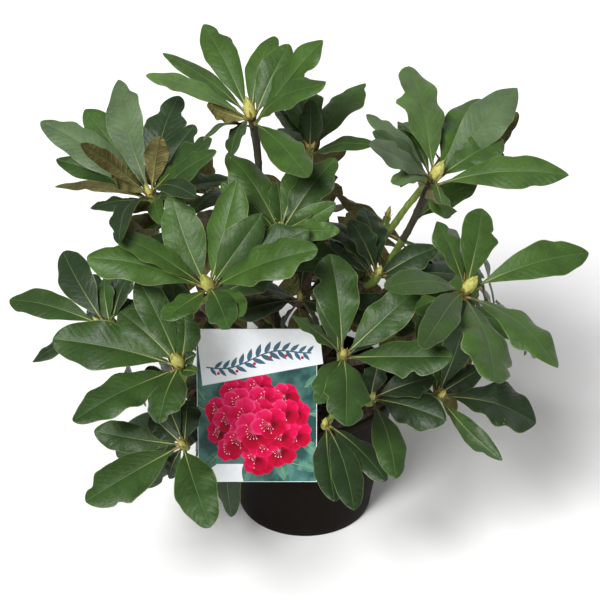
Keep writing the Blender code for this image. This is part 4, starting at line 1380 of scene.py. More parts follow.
def sheet_faces(rows: int, columns: int) -> list[tuple[int, ...]]:
    """Faces of a thin closed sheet of two grids, the upper one first.

    Args:
        rows: Rows of points in each grid.
        columns: Points in each row.

    Returns:
        The upper faces row by row, then the lower ones, then the rim.
    """
    size = rows * columns
    upper = grid_faces(rows, columns)
    lower = [tuple(size + v for v in reversed(face)) for face in upper]
    ring = [i * columns for i in range(rows)]
    ring += [(rows - 1) * columns + j for j in range(1, columns)]
    ring += [i * columns + columns - 1 for i in range(rows - 2, -1, -1)]
    ring += [j for j in range(columns - 2, 0, -1)]
    rim = [(b, a, size + a, size + b) for a, b in zip(ring, ring[1:] + ring[:1])]
    return upper + lower + rim


def rim_points(rows: int, columns: int) -> np.ndarray:
    """Which points of a thin closed sheet lie on its rim."""
    edge = np.zeros((rows, columns), bool)
    edge[0], edge[-1], edge[:, 0], edge[:, -1] = True, True, True, True
    return np.tile(edge.ravel(), 2)


class Heap:
    """Many small shapes of one kind, gathered into one mesh."""

    def __init__(self, name: str, finishes: Sequence[object]) -> None:
        """Starts an empty heap.

        Args:
            name: The piece's name.
            finishes: Its finishes, in the order of their numbers.
        """
        self.name = name
        self.finishes = finishes
        self.points: list[np.ndarray] = []
        self.faces: list[tuple[int, ...]] = []
        self.kinds: list[int] = []
        self.maps: list[np.ndarray] = []
        self.sharp: list[np.ndarray] = []
        self.count = 0

    def add(
        self, points: np.ndarray, faces: Sequence[tuple[int, ...]], kinds: int | Sequence[int],
        place: np.ndarray | None = None, sharp: np.ndarray | None = None,
    ) -> None:
        """Adds a shape.

        Args:
            points: Its points.
            faces: Its faces.
            kinds: Number of the finish, for all or for each face.
            place: The points' places on its map.
            sharp: Which points lie on a sharp edge.
        """
        total = len(points)
        self.points.append(np.asarray(points, float))
        self.faces += [tuple(v + self.count for v in face) for face in faces]
        self.kinds += [kinds] * len(faces) if isinstance(kinds, int) else list(kinds)
        self.maps.append(np.zeros((total, 2)) if place is None else place)
        self.sharp.append(np.zeros(total, bool) if sharp is None else sharp)
        self.count += total

    def mesh(self) -> bpy.types.Object:
        """Makes the mesh.

        Returns:
            Its object.
        """
        data = bpy.data.meshes.new(self.name)
        data.from_pydata(np.concatenate(self.points).tolist(), [], self.faces)
        for finish in self.finishes:
            data.materials.append(material_of(finish))
        data.polygons.foreach_set("material_index", np.array(self.kinds, np.int32))
        data.shade_smooth()
        corners = np.zeros(len(data.loops), np.int32)
        data.loops.foreach_get("vertex_index", corners)
        layer = data.uv_layers.new(name="UVMap")
        layer.uv.foreach_set("vector", np.concatenate(self.maps)[corners].astype(np.float32).ravel())
        ends = np.zeros(len(data.edges) * 2, np.int32)
        data.edges.foreach_get("vertices", ends)
        flags = np.concatenate(self.sharp)[ends.reshape(-1, 2)].all(axis=1)
        data.attributes.new("sharp_edge", "BOOLEAN", "EDGE").data.foreach_set("value", flags)
        data.update()
        return linked(self.name, data)

    def piece(self, nodes: Iterable[str] = ()) -> None:
        """Makes the mesh, attaches it to the plant and hides the solids that it stands for."""
        hand_in(self.mesh(), nodes)


def step(x: np.ndarray | float, low: float, high: float) -> np.ndarray | float:
    """Smooth step from 0 at low to 1 at high."""
    t = np.clip((np.asarray(x, float) - low) / (high - low), 0.0, 1.0)
    return t * t * (3 - 2 * t)


def wave(x: np.ndarray, low: float, high: float, draw: random.Random) -> np.ndarray:
    """A wave with a drawn number of beats between two limits, and then a drawn start."""
    return np.sin(2 * math.pi * (draw.uniform(low, high) * x + draw.random()))


class Part(IntEnum):
    """The numbered finishes of a leaf; the greens of its upper face follow from the last."""

    BACK = 0
    RIB = 1
    MARGIN = 2
    STALK = 3
    FACE = 4


@dataclass(frozen=True)
class Blade:
    """How a leaf is meshed: folded at its midrib, waved and lobed at its margin."""

    rows: int = 30
    columns: tuple[float, ...] = (0.26, 0.52, 0.78, 0.965, 1.0)
    thickness: float = 0.5 * MM
    rim: float = 0.2 * MM
    rib: float = 0.85 * MM
    stalk: float = 1.25 * MM
    tip: float = 0.3 * MM
    keel: float = 0.8 * MM
    groove: float = 0.2 * MM
    ripple: float = 0.35 * MM

    def stations(self) -> np.ndarray:
        """Shares of the length at which the leaf has a row of points."""
        t = np.linspace(0, 1, self.rows + 1)[1:]
        return np.concatenate([[0.0, 0.05, 0.10], PETIOLE_SHARE + (1 - PETIOLE_SHARE) * (1 - (1 - t) ** 1.6)])

    def outline(self, u: np.ndarray, draw: random.Random) -> np.ndarray:
        """Share of the leaf's width along it: a wedge below, broad above and blunt at the tip.

        Args:
            u: Shares of the length.
            draw: The leaf's own draw.

        Returns:
            Shares of the half width.
        """
        t = np.clip((u - PETIOLE_SHARE) / (1 - PETIOLE_SHARE), 0, 1)
        broad = draw.uniform(0.50, 0.66)
        low = np.sin(math.pi / 2 * np.clip(t / broad, 0, 1)) ** draw.uniform(1.0, 1.25)
        point = draw.uniform(0.48, 0.62) if draw.random() < 0.72 else draw.uniform(0.65, 0.85)
        high = np.cos(math.pi / 2 * np.clip((t - broad) / (1 - broad), 0, 1)) ** point
        return np.where(t < broad, low, high)

    def margin(self, u: np.ndarray, draw: random.Random) -> np.ndarray:
        """How one margin runs in and out.

        Args:
            u: Shares of the length.
            draw: The leaf's own draw.

        Returns:
            Factors of the half width.
        """
        factor = 1 + 0.05 * wave(u, 1.2, 2.4, draw) * step(u, 0.3, 0.6)
        factor += 0.025 * wave(u, 4, 6, draw) * step(u, 0.45, 0.7)
        if draw.random() < 0.36:
            at, depth = draw.uniform(0.70, 0.9), draw.uniform(0.10, 0.30)
            factor -= depth * np.exp(-(((u - at) / 0.04) ** 2))
            factor += 0.6 * depth * np.exp(-(((u - at + 0.085) / 0.045) ** 2))
        return factor

    def spine(self, leaf: Leaf, u: np.ndarray, draw: random.Random) -> np.ndarray:
        """The midrib's line: arched, with a drooping tip and a slight sway.

        Args:
            leaf: The leaf.
            u: Shares of the length.
            draw: The leaf's own draw.

        Returns:
            A point for each share.
        """
        _, side, above = (np.array(axis) for axis in leaf.axes())
        length = (leaf.tip - leaf.root).length
        sway, curl = draw.uniform(-0.03, 0.03) * length, draw.uniform(-0.02, 0.075) * length
        middle = np.outer(u, np.array(leaf.tip - leaf.root)) + np.array(leaf.root)
        middle += np.outer(leaf.arch * length * 4 * u * (1 - u) - curl * step(u, 0.55, 1.0) * u, above)
        return middle + np.outer(sway * np.sin(math.pi * u), side)

    def sections(self, leaf: Leaf, u: np.ndarray, draw: random.Random) -> tuple[np.ndarray, np.ndarray]:
        """The leaf's section at each share: folded and cupped, with waves toward its margins.

        Args:
            leaf: The leaf.
            u: Shares of the length.
            draw: The leaf's own draw.

        Returns:
            Each point's place across the blade, and its height.
        """
        half = leaf.width / 2 * self.outline(u, draw)
        half = np.maximum(half, np.where(u < 0.5, self.stalk, self.tip))
        height, cup = draw.uniform(0.8, 3.1) * MM, draw.uniform(0.02, 0.38)
        fold = math.tan(leaf.fold) * (1 - 0.5 * step(u, 0.5, 1.0))
        rib = np.minimum(self.rib * (1.1 - 0.95 * u ** 0.6), 0.45 * half)
        points = [(np.zeros_like(u), np.zeros_like(u) - self.groove * step(u, 0.12, 0.2) * (1 - 0.8 * u))]
        for sign in (-1, 1):
            reach = half * np.where(u > PETIOLE_SHARE, self.margin(u, draw), 1.0)
            swell = height * wave(u, 1.8, 4.4, draw) * step(u, 0.2, 0.45) * (half / (16 * MM))
            ripple = self.ripple * wave(u, 9, 13, draw) * step(u, 0.2, 0.4)
            row = [(sign * rib, fold * rib)]
            for s in self.columns:
                high = reach * (fold * s ** 1.1 - cup * s ** 3 * step(u, 0.15, 0.4)) + swell * s * s
                row.append((sign * reach * s, high + ripple * math.sin(math.pi * s)))
            points = row[::-1] + points if sign < 0 else points + row
        return np.array([place for place, _ in points]).T, np.array([high for _, high in points]).T

    def mesh(self, leaf: Leaf, heap: Heap, draw: random.Random, face: int) -> None:
        """Adds a leaf to a heap.

        Args:
            leaf: The leaf.
            heap: The heap.
            draw: The leaf's own draw.
            face: Number of the finish of its upper face.
        """
        _, side, above = (np.array(axis) for axis in leaf.axes())
        u = self.stations()
        middle = self.spine(leaf, u, draw)
        twist = math.radians(draw.uniform(-20, 20)) * (u - 0.3)
        flat, high = self.sections(leaf, u, draw)
        c, s = np.cos(twist)[:, None], np.sin(twist)[:, None]
        out, up = flat * c - high * s, flat * s + high * c
        grid = middle[:, None, :] + out[..., None] * side + up[..., None] * above
        normal = np.cross(np.gradient(grid, axis=0), np.gradient(grid, axis=1))
        normal /= np.maximum(np.linalg.norm(normal, axis=2, keepdims=True), 1e-12)
        share = np.clip(np.abs(flat) / np.maximum(np.abs(flat).max(axis=1, keepdims=True), 1e-9), 0, 1)
        blade = step(u, 0.09, 0.17)[:, None]
        body = blade * (self.rim + (self.thickness - self.rim) * (1 - share ** 4)) / 2
        body = body + (1 - blade) * self.stalk * 0.9 * np.sqrt(np.clip(1 - share ** 2, 0.02, 1))
        keel = self.keel * (1.1 - 0.8 * u)[:, None] * blade * np.exp(-((flat / (1.0 * MM)) ** 2))
        rows, columns = flat.shape
        points = np.concatenate([(grid + normal * body[..., None]).reshape(-1, 3),
                                 (grid - normal * (body + keel)[..., None]).reshape(-1, 3)])
        along = np.repeat(u, columns).reshape(rows, columns) * (leaf.tip - leaf.root).length
        spot = np.stack([along / MM / MAP_SPAN, 0.5 + flat / MM / MAP_SPAN], axis=2).reshape(-1, 2)
        heap.add(points, sheet_faces(rows, columns), self.kinds(rows, columns, face),
                 np.tile(spot, (2, 1)), rim_points(rows, columns))

    def kinds(self, rows: int, columns: int, face: int) -> list[int]:
        """Deals the finishes to a leaf's faces.

        Args:
            rows: Rows of points.
            columns: Points in each row.
            face: Number of the finish of its upper face.

        Returns:
            A number for each face.
        """
        rib = [j in ((columns - 1) // 2 - 1, (columns - 1) // 2) for j in range(columns - 1)]
        upper = [Part.RIB if mid else face for mid in rib]
        upper[0] = upper[-1] = Part.MARGIN
        lower = [Part.RIB if mid else Part.BACK for mid in rib]
        stalk = [Part.STALK] * (2 * (columns - 1))
        rim = [Part.MARGIN] * (2 * (rows - 1) + 2 * (columns - 1))
        return stalk + upper * (rows - 3) + stalk + lower * (rows - 3) + rim


@dataclass(frozen=True)
class Foliage:
    """The leaves of every shoot, each kept at the place that the rule gave it."""

    blade: Blade = Blade()
    back: LeafBack = LeafBack()
    rib: Midrib = Midrib()
    margin: Stalk = Stalk("leaf_margin", (0.070, 0.120, 0.028, 1), (0.15, 0.18, 0.05, 1), 0.7)
    stalk: Stalk = Stalk("leaf_stalk", (0.270, 0.200, 0.055, 1), (0.30, 0.135, 0.040, 1))
    # Limits on a leaf's painted light: below them it is dealt the shaded or the deep green, above them a
    # lighter one
    shaded_below: float = 0.44
    deep_below: float = 0.72
    open_above: float = 0.98
    middle_share: float = 0.3
    fresh_share: float = 0.4

    def deal(self, name: str, number: int, leaf: Leaf, draw: random.Random) -> Tint:
        """Deals a green to a leaf: dark inside and low down, lighter high up and outside, partly the leaves'
        own tone and partly painted shade and painted light.

        Args:
            name: Its shoot's name.
            number: Its number in the shoot.
            leaf: The leaf.
            draw: The leaf's own draw.

        Returns:
            The green.
        """
        middle = (leaf.root + leaf.tip) / 2
        # Painted light: how lit the leaf stands, from its height and its distance out, with the tables'
        # painted light and painted shade added
        light = 0.55 * (math.hypot(middle.x, middle.y) / 0.25) + 0.75 * (middle.z - 0.15) / 0.35
        light += SHOOT_PAINTED_LIGHT.get(name, 0.0) + LEAF_PAINTED_LIGHT.get((name, number), 0.0) + draw.uniform(-0.16, 0.16)
        if light < self.deep_below:
            return Tint.SHADED if light < self.shaded_below else Tint.DEEP
        if light < self.open_above or draw.random() < self.middle_share:
            return Tint.MIDDLE
        return Tint.FRESH if draw.random() < self.fresh_share + SHOOT_PAINTED_LIGHT.get(name, 0.0) else Tint.GREYED

    def build(self, bush: Bush) -> None:
        """Builds one piece of leaves for each shoot.

        Args:
            bush: The grown bush.
        """
        tints = list(Tint)
        for name, leaves in bush.leaves.items():
            heap = Heap("leaves_" + name, [self.back, self.rib, self.margin, self.stalk, *tints])
            for number, leaf in enumerate(leaves):
                draw = random.Random(f"{SEED} blade {name} {number}")
                face = Part.FACE + tints.index(self.deal(name, number, leaf, draw))
                self.blade.mesh(leaf, heap, draw, face)
            heap.piece(["foliage_" + name])


def frames(points: Sequence[Vector]) -> list[tuple[Vector, Vector, Vector]]:
    """Directions along, across and beside a path at each point, with no twist between them.

    Args:
        points: The path's points.

    Returns:
        The three directions at each.
    """
    ways: list[tuple[Vector, Vector, Vector]] = []
    for i, _ in enumerate(points):
        along = (points[min(i + 1, len(points) - 1)] - points[max(i - 1, 0)]).normalized()
        side = ways[-1][1] - along * ways[-1][1].dot(along) if ways else along.orthogonal()
        side.normalize()
        ways.append((along, side, along.cross(side)))
    return ways


def tube(rings: Sequence[np.ndarray]) -> tuple[np.ndarray, list[tuple[int, ...]]]:
    """A closed tube through rings of points, with a point at the middle of each end.

    Args:
        rings: The rings, each with its points in the same order.

    Returns:
        Its points and faces, ring by ring, then the two ends.
    """
    sides = len(rings[0])
    points = np.concatenate([*rings, rings[0].mean(axis=0)[None], rings[-1].mean(axis=0)[None]])
    faces = quads(len(rings), sides)
    first, last = len(points) - 2, len(points) - 1
    top = (len(rings) - 1) * sides
    for k in range(sides):
        faces += [(first, (k + 1) % sides, k), (last, top + k, top + (k + 1) % sides)]
    return points, faces


@dataclass(frozen=True)
class Twigs:
    """The shoots' stems: slender, ringed where a year's growth began, with leaf scars."""

    sides: int = 14
    pitch: float = 2.2 * MM
    scar_height: float = 0.55 * MM
    scar_size: float = 1.9 * MM
    ring_height: float = 0.45 * MM
    ring_size: float = 0.9 * MM

    def build(self, bush: Bush) -> None:
        """Builds one piece for each shoot's stem.

        Args:
            bush: The grown bush.
        """
        for name, shoot in SHOOTS.items():
            heap = Heap("twig_" + name, [Skin.BROWN, Skin.GREEN, Skin.PAINTED_SHADE])
            self.stem(name, shoot, bush, heap)
            heap.piece()

    def radius(self, shoot: Shoot, share: float) -> float:
        """The stem's radius: slender above the knuckle and thickest below the whorl."""
        return shoot.radius * float(0.82 - 0.10 * step(share, 0.0, 0.25) + 0.26 * step(share, 0.55, 0.97))

    def scars(self, length: float, growth: float, draw: random.Random) -> list[tuple[float, float]]:
        """Where leaves have fallen: crowded at the rings and below the bud, loose between.

        Args:
            length: The stem's length.
            growth: Share of it at which the last year's growth began.
            draw: The stem's own draw.

        Returns:
            Each scar's share of the length, and its angle.
        """
        found = []
        at, bearing = 0.08, draw.uniform(0, 360)
        while at < 0.96:
            crowded = abs(at - growth) < 0.07 or at > 1 - 22 * MM / length
            found.append((at, math.radians(bearing)))
            at += (2.4 if crowded else draw.uniform(5, 9)) * MM / length
            bearing += GOLDEN_ANGLE
        return found

    def stem(self, name: str, shoot: Shoot, bush: Bush, heap: Heap) -> None:
        """Adds a stem to a heap.

        Args:
            name: The shoot's name.
            shoot: The shoot.
            bush: The grown bush.
            heap: The heap.
        """
        draw = random.Random(f"{SEED} stem {name}")
        length = path_length(shoot_path(shoot, *bush.starts[name], 0.0, 12))
        points = shoot_path(shoot, *bush.starts[name], 0.0, max(12, round(length / self.pitch)))
        points.append(points[-1] + shoot_axis(points[-1]) * 1.5 * MM)
        total = len(points)
        growth = draw.uniform(0.30, 0.5)
        scars = self.scars(length, growth, draw)
        turns = np.arange(self.sides) * (2 * math.pi / self.sides)
        rings = []
        for i, (point, (_, side, across)) in enumerate(zip(points, frames(points))):
            share = i / (total - 1)
            size = np.full(self.sides, self.radius(shoot, share))
            for at, angle in scars:
                gap = (i - at * total) * (length / total) / self.scar_size
                if abs(gap) < 2.5:
                    turn = np.angle(np.exp(1j * (turns - angle))) * size / (1.5 * self.scar_size)
                    size = size + self.scar_height * np.exp(-gap * gap - turn ** 2)
            for shift in (-0.012, 0, 0.012):
                gap = (share - growth - shift) * length / self.ring_size
                size = size + self.ring_height * math.exp(-gap * gap)
            size = size * (1 + 0.03 * np.sin(3 * turns + 9 * share)) * (0.6 if i == total - 1 else 1)
            side_points = np.outer(np.cos(turns) * size, side) + np.outer(np.sin(turns) * size, across)
            rings.append(side_points + np.array(point))
        old, young = STEM_SKINS.get(name, (0, 1))
        kinds = [young if i / total > growth else old for i in range(total - 1) for _ in range(self.sides)]
        heap.add(*tube(rings), kinds + [old, young] * self.sides)


@dataclass
class Bud:
    """One bud: its heap, its size, its foot, its directions across, beside and along, and its draw."""

    heap: Heap
    length: float
    radius: float
    start: np.ndarray
    place: np.ndarray
    draw: random.Random

    def set(self, *local: np.ndarray) -> np.ndarray:
        """Points of the plant from their places across, beside and along the bud."""
        return np.stack(local, axis=-1).reshape(-1, 3) @ self.place + self.start


@dataclass(frozen=True)
class Buds:
    """The bud on each shoot: an egg of closed scales, with brown bracts at its foot."""

    rings: int = 12
    sides: int = 14
    scales: int = 17
    bracts: int = 6
    thickness: float = 0.35 * MM
    bract_thickness: float = 0.4 * MM
    skin: Stalk = Stalk("bud_skin", (0.270, 0.280, 0.050, 1), (0.37, 0.33, 0.08, 1))
    scale: Stalk = Stalk("bud_scale", (0.440, 0.450, 0.105, 1), (0.56, 0.50, 0.16, 1))
    tip: Stalk = Stalk("bud_tip", (0.340, 0.300, 0.070, 1), (0.33, 0.23, 0.060, 1))
    bract: Stalk = Stalk("bud_bract", (0.300, 0.190, 0.040, 1), (0.22, 0.10, 0.025, 1))

    def girth(self, t: float | np.ndarray) -> np.ndarray:
        """Share of the bud's radius at a share of its length."""
        t = np.clip(t, 0, 1)
        return np.sqrt(np.clip(1 - (2 * t ** 0.72 - 1) ** 2, 0, 1)) * (1 - t) ** 0.28 * 1.12 + 0.01

    def build(self) -> None:
        """Builds one piece for each shoot's bud, which stays a little inside its solid."""
        for name, shoot in SHOOTS.items():
            heap = Heap("bud_" + name, [self.skin, self.scale, self.tip, self.bract])
            length, radius = bud_size(shoot)
            centre = Vector(shoot.centre) * MM
            along, side, across = frames([centre, centre + shoot_axis(centre)])[0]
            bud = Bud(heap, 1.1 * length, 0.96 * radius, np.array(centre) - np.array(along) * 1.5 * MM,
                      np.array([side, across, along]), random.Random(f"{SEED} bud {name}"))
            self.egg(bud)
            for number in range(self.scales):
                self.wrap(bud, number)
            for number in range(self.bracts):
                self.leaflet(bud, number)
            heap.piece()

    def egg(self, bud: Bud) -> None:
        """Adds a bud's body.

        Args:
            bud: The bud.
        """
        turns = np.arange(self.sides) * (2 * math.pi / self.sides)
        rings = []
        for t in np.linspace(0.03, 0.985, self.rings):
            size = bud.radius * 0.93 * float(self.girth(t))
            height = np.full(self.sides, t * bud.length)
            rings.append(bud.set(np.cos(turns) * size, np.sin(turns) * size, height))
        bud.heap.add(*tube(rings), 0)

    def wrap(self, bud: Bud, number: int) -> None:
        """Adds one scale, which lies on the body and stands off a little at its point.

        Args:
            bud: The bud.
            number: Which scale it is, from the foot upward.
        """
        rise = number / (self.scales - 1)
        low = 0.02 + 0.52 * rise
        high = min(1.0, low + 0.34 + 0.10 * rise)
        rows, columns = 8, 7
        t, s = np.meshgrid(np.linspace(0, 1, rows), np.linspace(-1, 1, columns), indexing="ij")
        turn = math.radians(GOLDEN_ANGLE * number) + math.radians(62 - 14 * rise) * s * (1 - t ** 2.2) ** 0.6
        height = low + (high - low) * t
        stand = 0.96 + 0.035 * t + bud.draw.uniform(0.0, 0.05) * t ** 3 + 0.03 * (1 - s * s)
        grid = []
        for lift in (self.thickness, 0.0):
            size = bud.radius * self.girth(height) * stand + lift * (1 - 0.6 * np.abs(s))
            up = height * bud.length + 0.3 * lift * t
            grid.append(bud.set(np.cos(turn) * size, np.sin(turn) * size, up))
        cells = (rows - 1) * (columns - 1)
        kinds = [2 if i // (columns - 1) >= rows - 2 else 1 for i in range(cells)] * 2
        faces = [face[::-1] for face in sheet_faces(rows, columns)]
        bud.heap.add(np.concatenate(grid), faces, kinds + [1] * (len(faces) - 2 * cells))

    def leaflet(self, bud: Bud, number: int) -> None:
        """Adds one narrow brown bract at a bud's foot.

        Args:
            bud: The bud.
            number: Which bract it is.
        """
        c, s = unit(GOLDEN_ANGLE * number + 40)
        reach = bud.draw.uniform(0.38, 0.66) * bud.length
        lean = bud.draw.uniform(0.10, 0.42)
        rows, columns = 6, 3
        t, beside = np.meshgrid(np.linspace(0, 1, rows), np.linspace(-1, 1, columns), indexing="ij")
        beside = (1.15 * MM * (1 - t) ** 0.7 + 0.12 * MM) * beside
        out = bud.radius * 0.80 + bud.radius * 0.35 * np.sin(math.pi * 0.5 * t) + lean * reach * t ** 2
        grid = []
        for lift in (self.bract_thickness, 0.0):
            far = out + lift * (1 - 0.5 * t)
            grid.append(bud.set(c * far - s * beside, s * far + c * beside, reach * t))
        bud.heap.add(np.concatenate(grid), [face[::-1] for face in sheet_faces(rows, columns)], 3)


@dataclass(frozen=True)
class Wood:
    """Trunk and main boughs: one knotted skin with ridged bark."""

    voxel: float = 1.15 * MM
    ridge: float = 1.1 * MM
    ridge_size: float = 5.5 * MM
    flake: float = 0.5 * MM
    flake_size: float = 1.8 * MM
    bark: Bark = Bark("old_bark", (0.088, 0.058, 0.038, 1), (0.026, 0.016, 0.011, 1), (0.20, 0.165, 0.12, 1))

    def build(self, bush: Bush) -> None:
        """Builds the wood.

        Args:
            bush: The grown bush.
        """
        limbs = [trunk_limb(18)] + [bough_limb(bush.trunk, *spec, steps=22) for spec in BOUGHS.values()]
        parts = [self.rod(f"rod_{i}", limb) for i, limb in enumerate(limbs)]
        alone(parts[0])
        for part in parts:
            part.select_set(True)
        bpy.ops.object.convert(target="MESH")
        bpy.ops.object.join()
        wood = bpy.context.object
        wood.name = wood.data.name = "wood"
        settle(wood)
        modified(wood, "Skin", "REMESH", mode="VOXEL", voxel_size=self.voxel, adaptivity=0.0,
                 use_smooth_shade=True)
        modified(wood, "Soften", "SMOOTH", factor=0.5, iterations=3)
        clouded(wood, "ridges", self.ridge_size, 2, strength=self.ridge, mid_level=0.55)
        clouded(wood, "flakes", self.flake_size, 2, strength=self.flake, mid_level=0.55)
        dressed(wood, self.bark, 180)
        hand_in(wood, ["trunk"] + ["bough_" + name for name in BOUGHS])

    def rod(self, name: str, limb: Limb) -> bpy.types.Object:
        """Makes a limb's round curve.

        Args:
            name: The curve's name.
            limb: Its axis and radii.

        Returns:
            The curve's object.
        """
        data = bpy.data.curves.new(name, "CURVE")
        data.dimensions = "3D"
        data.bevel_depth = 1.0
        data.bevel_resolution = 6
        data.use_fill_caps = True
        line = data.splines.new("POLY")
        line.points.add(len(limb.points) - 1)
        for spot, point, radius in zip(line.points, limb.points, limb.radii):
            spot.co, spot.radius = (*point, 1), radius
        return linked(name, data)


def wall_radius(z: float) -> float:
    """Outer radius of the pot's wall below its lip."""
    return BASE_RADIUS + (RIM_RADIUS - LIP_WIDTH - BASE_RADIUS) * z / (POT_HEIGHT - LIP_HEIGHT)


@dataclass(frozen=True)
class Pot:
    """The nursery pot: a tapered wall with moulded rings, under a rolled lip."""

    sides: int = 144
    finish: PotPlastic = PotPlastic()

    def profile(self) -> list[tuple[float, float]]:
        """Radius and height of each ring, from under the foot, up the outside and down inside.

        Returns:
            The rings.
        """
        rings = [(30 * MM, 1.6 * MM), (60 * MM, 1.6 * MM), (62 * MM, 0.0), (BASE_RADIUS - 1.5 * MM, 0.0),
                 (BASE_RADIUS - 0.6 * MM, 0.4 * MM), (wall_radius(2 * MM), 2 * MM)]
        for z in (12, 24, 36, 48, 60, 72, 84, 96, 104, 106.0, 106.6, 109.4, 110.0, 118, 126, 134, 138.5):
            rings.append((wall_radius(z * MM) - (0.5 * MM if 106.3 < z < 109.7 else 0.0), z * MM))
        under = POT_HEIGHT - LIP_HEIGHT
        rings.append((wall_radius(under), under))
        for inset, z in ((2.0, 0), (1.3, 0.3), (0.7, 1.2), (0.35, 4)):
            rings.append((RIM_RADIUS - inset * MM, under + z * MM))
        for inset, z in ((0, 1.6), (0.25, 0.7), (0.8, 0.15), (1.5, 0)):
            rings.append((RIM_RADIUS - inset * MM, POT_HEIGHT - z * MM))
        for inset, z in ((1.4, 0), (0.6, 0.3), (0, 1.2)):
            rings.append((INSIDE_TOP + inset * MM, POT_HEIGHT - z * MM))
        floor = wall_radius(POT_FLOOR) - POT_WALL
        for share in (0.2, 0.45, 0.7, 1.0):
            z = POT_HEIGHT - LIP_ROLL - share * (POT_HEIGHT - LIP_ROLL - POT_FLOOR)
            rings.append((INSIDE_TOP + (floor - INSIDE_TOP) * share, z))
        return rings + [(floor - 20 * MM, POT_FLOOR)]

    def build(self) -> None:
        """Builds the pot."""
        pot = turned("nursery_pot", self.sides, self.profile())
        dressed(pot, self.finish, 35)
        hand_in(pot, ["pot"])


@dataclass(frozen=True)
class Soil:
    """The compost: a plug with a rough top, and crumbs that lie on it."""

    sides: int = 96
    crumbs: int = 620
    clear: float = 0.6 * MM
    compost: Compost = Compost("compost")
    crumb: Compost = Compost("crumbs", (0.020, 0.013, 0.009, 1), (0.080, 0.052, 0.032, 1))

    def inner(self, z: float) -> float:
        """Inner radius of the pot's wall at a height."""
        low = wall_radius(POT_FLOOR) - POT_WALL
        return low + (INSIDE_TOP - low) * (z - POT_FLOOR) / (POT_HEIGHT - LIP_ROLL - POT_FLOOR) - self.clear

    def top(self, radius: float) -> float:
        """Height of the compost's face at a radius."""
        return SOIL_TOP - 0.8 * MM - SOIL_SAG * (radius / self.inner(SOIL_TOP)) ** 3

    def build(self) -> None:
        """Builds the plug and its crumbs."""
        low = POT_FLOOR + self.clear
        edge = self.inner(SOIL_TOP - SOIL_SAG)
        profile = [(self.inner(low), low), (self.inner(60 * MM), 60 * MM),
                   (edge, SOIL_TOP - SOIL_SAG - 1.2 * MM)]
        profile += [(edge * share, self.top(edge * share)) for share in np.linspace(0.975, 0.03, 34).tolist()]
        plug = turned("compost_plug", self.sides, profile)
        raised = [v.index for v in plug.data.vertices if v.co.z > SOIL_TOP - SOIL_SAG - 1.0 * MM]
        plug.vertex_groups.new(name="top").add(raised, 1.0, "REPLACE")
        clouded(plug, "compost_top", 5 * MM, 4, strength=3.4 * MM, mid_level=0.62, direction="Z",
                vertex_group="top")
        dressed(plug, self.compost, 50)
        hand_in(plug, ["soil"])
        self.scatter()

    def scatter(self) -> None:
        """Scatters crumbs and fibres over the plug's face."""
        draw = random.Random(f"{SEED} crumbs")
        heap = Heap("compost_crumbs", [self.crumb])
        for number in range(self.crumbs):
            radius = (self.inner(SOIL_TOP) - 5 * MM) * math.sqrt(draw.random())
            c, s = unit(draw.uniform(0, 360))
            size = np.array([draw.uniform(0.7, 1.9), draw.uniform(0.6, 1.4), draw.uniform(0.5, 1.1)]) * MM
            if number % 5 == 0:
                size = np.array([draw.uniform(3, 7), 0.35, 0.35]) * MM
            turn = Matrix.Rotation(draw.uniform(0, 6.3), 3, "Z")
            turn @= Matrix.Rotation(draw.uniform(-0.25, 0.25), 3, "Y")
            shape = np.array(BOX_CORNERS) * size * [[draw.uniform(0.6, 1.0)] for _ in BOX_CORNERS]
            spot = np.array([radius * c, radius * s, min(self.top(radius) + 0.4 * MM, SOIL_TOP - 1.2 * MM)])
            heap.add(shape @ np.array(turn).T + spot, BOX_FACES, 0)
        heap.piece()


class Ink(Enum):
    """The inks of the card's print."""

    WHITE = Print("card_white", (0.86, 0.89, 0.91, 1), (0.80, 0.84, 0.88, 1))
    TEAL = Print("ink_teal", (0.010, 0.055, 0.050, 1), (0.070, 0.190, 0.170, 1), 1.0, 22 * MM)
    LEAF = Print("ink_leaf", (0.030, 0.120, 0.080, 1), (0.110, 0.260, 0.190, 1), 0.8, 9 * MM)
    VEIN = Print("ink_vein", (0.190, 0.340, 0.240, 1), (0.26, 0.40, 0.30, 1), 0.6, 6 * MM)
    CRIMSON = Print("ink_crimson", (0.560, 0.003, 0.040, 1), (0.680, 0.008, 0.075, 1), 0.8, 5 * MM)
    ROSE = Print("ink_rose", (0.800, 0.120, 0.230, 1), (0.840, 0.200, 0.300, 1), 0.8, 5 * MM)
    DEEP = Petal("petal_deep", (0.15, 0.001, 0.010, 1), (0.40, 0.002, 0.026, 1), (0.56, 0.005, 0.05, 1))
    CLEAR = Petal("petal_clear", (0.28, 0.001, 0.020, 1), (0.59, 0.003, 0.058, 1), (0.69, 0.02, 0.12, 1))
    BRIGHT = Petal("petal_bright", (0.42, 0.002, 0.032, 1), (0.68, 0.01, 0.09, 1), (0.76, 0.075, 0.21, 1))
    PALE = Print("ink_pale", (0.82, 0.52, 0.50, 1), (0.86, 0.66, 0.60, 1))
    SLATE = Print("ink_slate", (0.050, 0.120, 0.180, 1), (0.075, 0.150, 0.215, 1))


TONGUE_PLASTIC = Print("tongue_plastic", (0.70, 0.69, 0.65, 1), (0.62, 0.61, 0.57, 1), 0.6, 12 * MM, 0.42)

Outline = Sequence[tuple[float, float]]


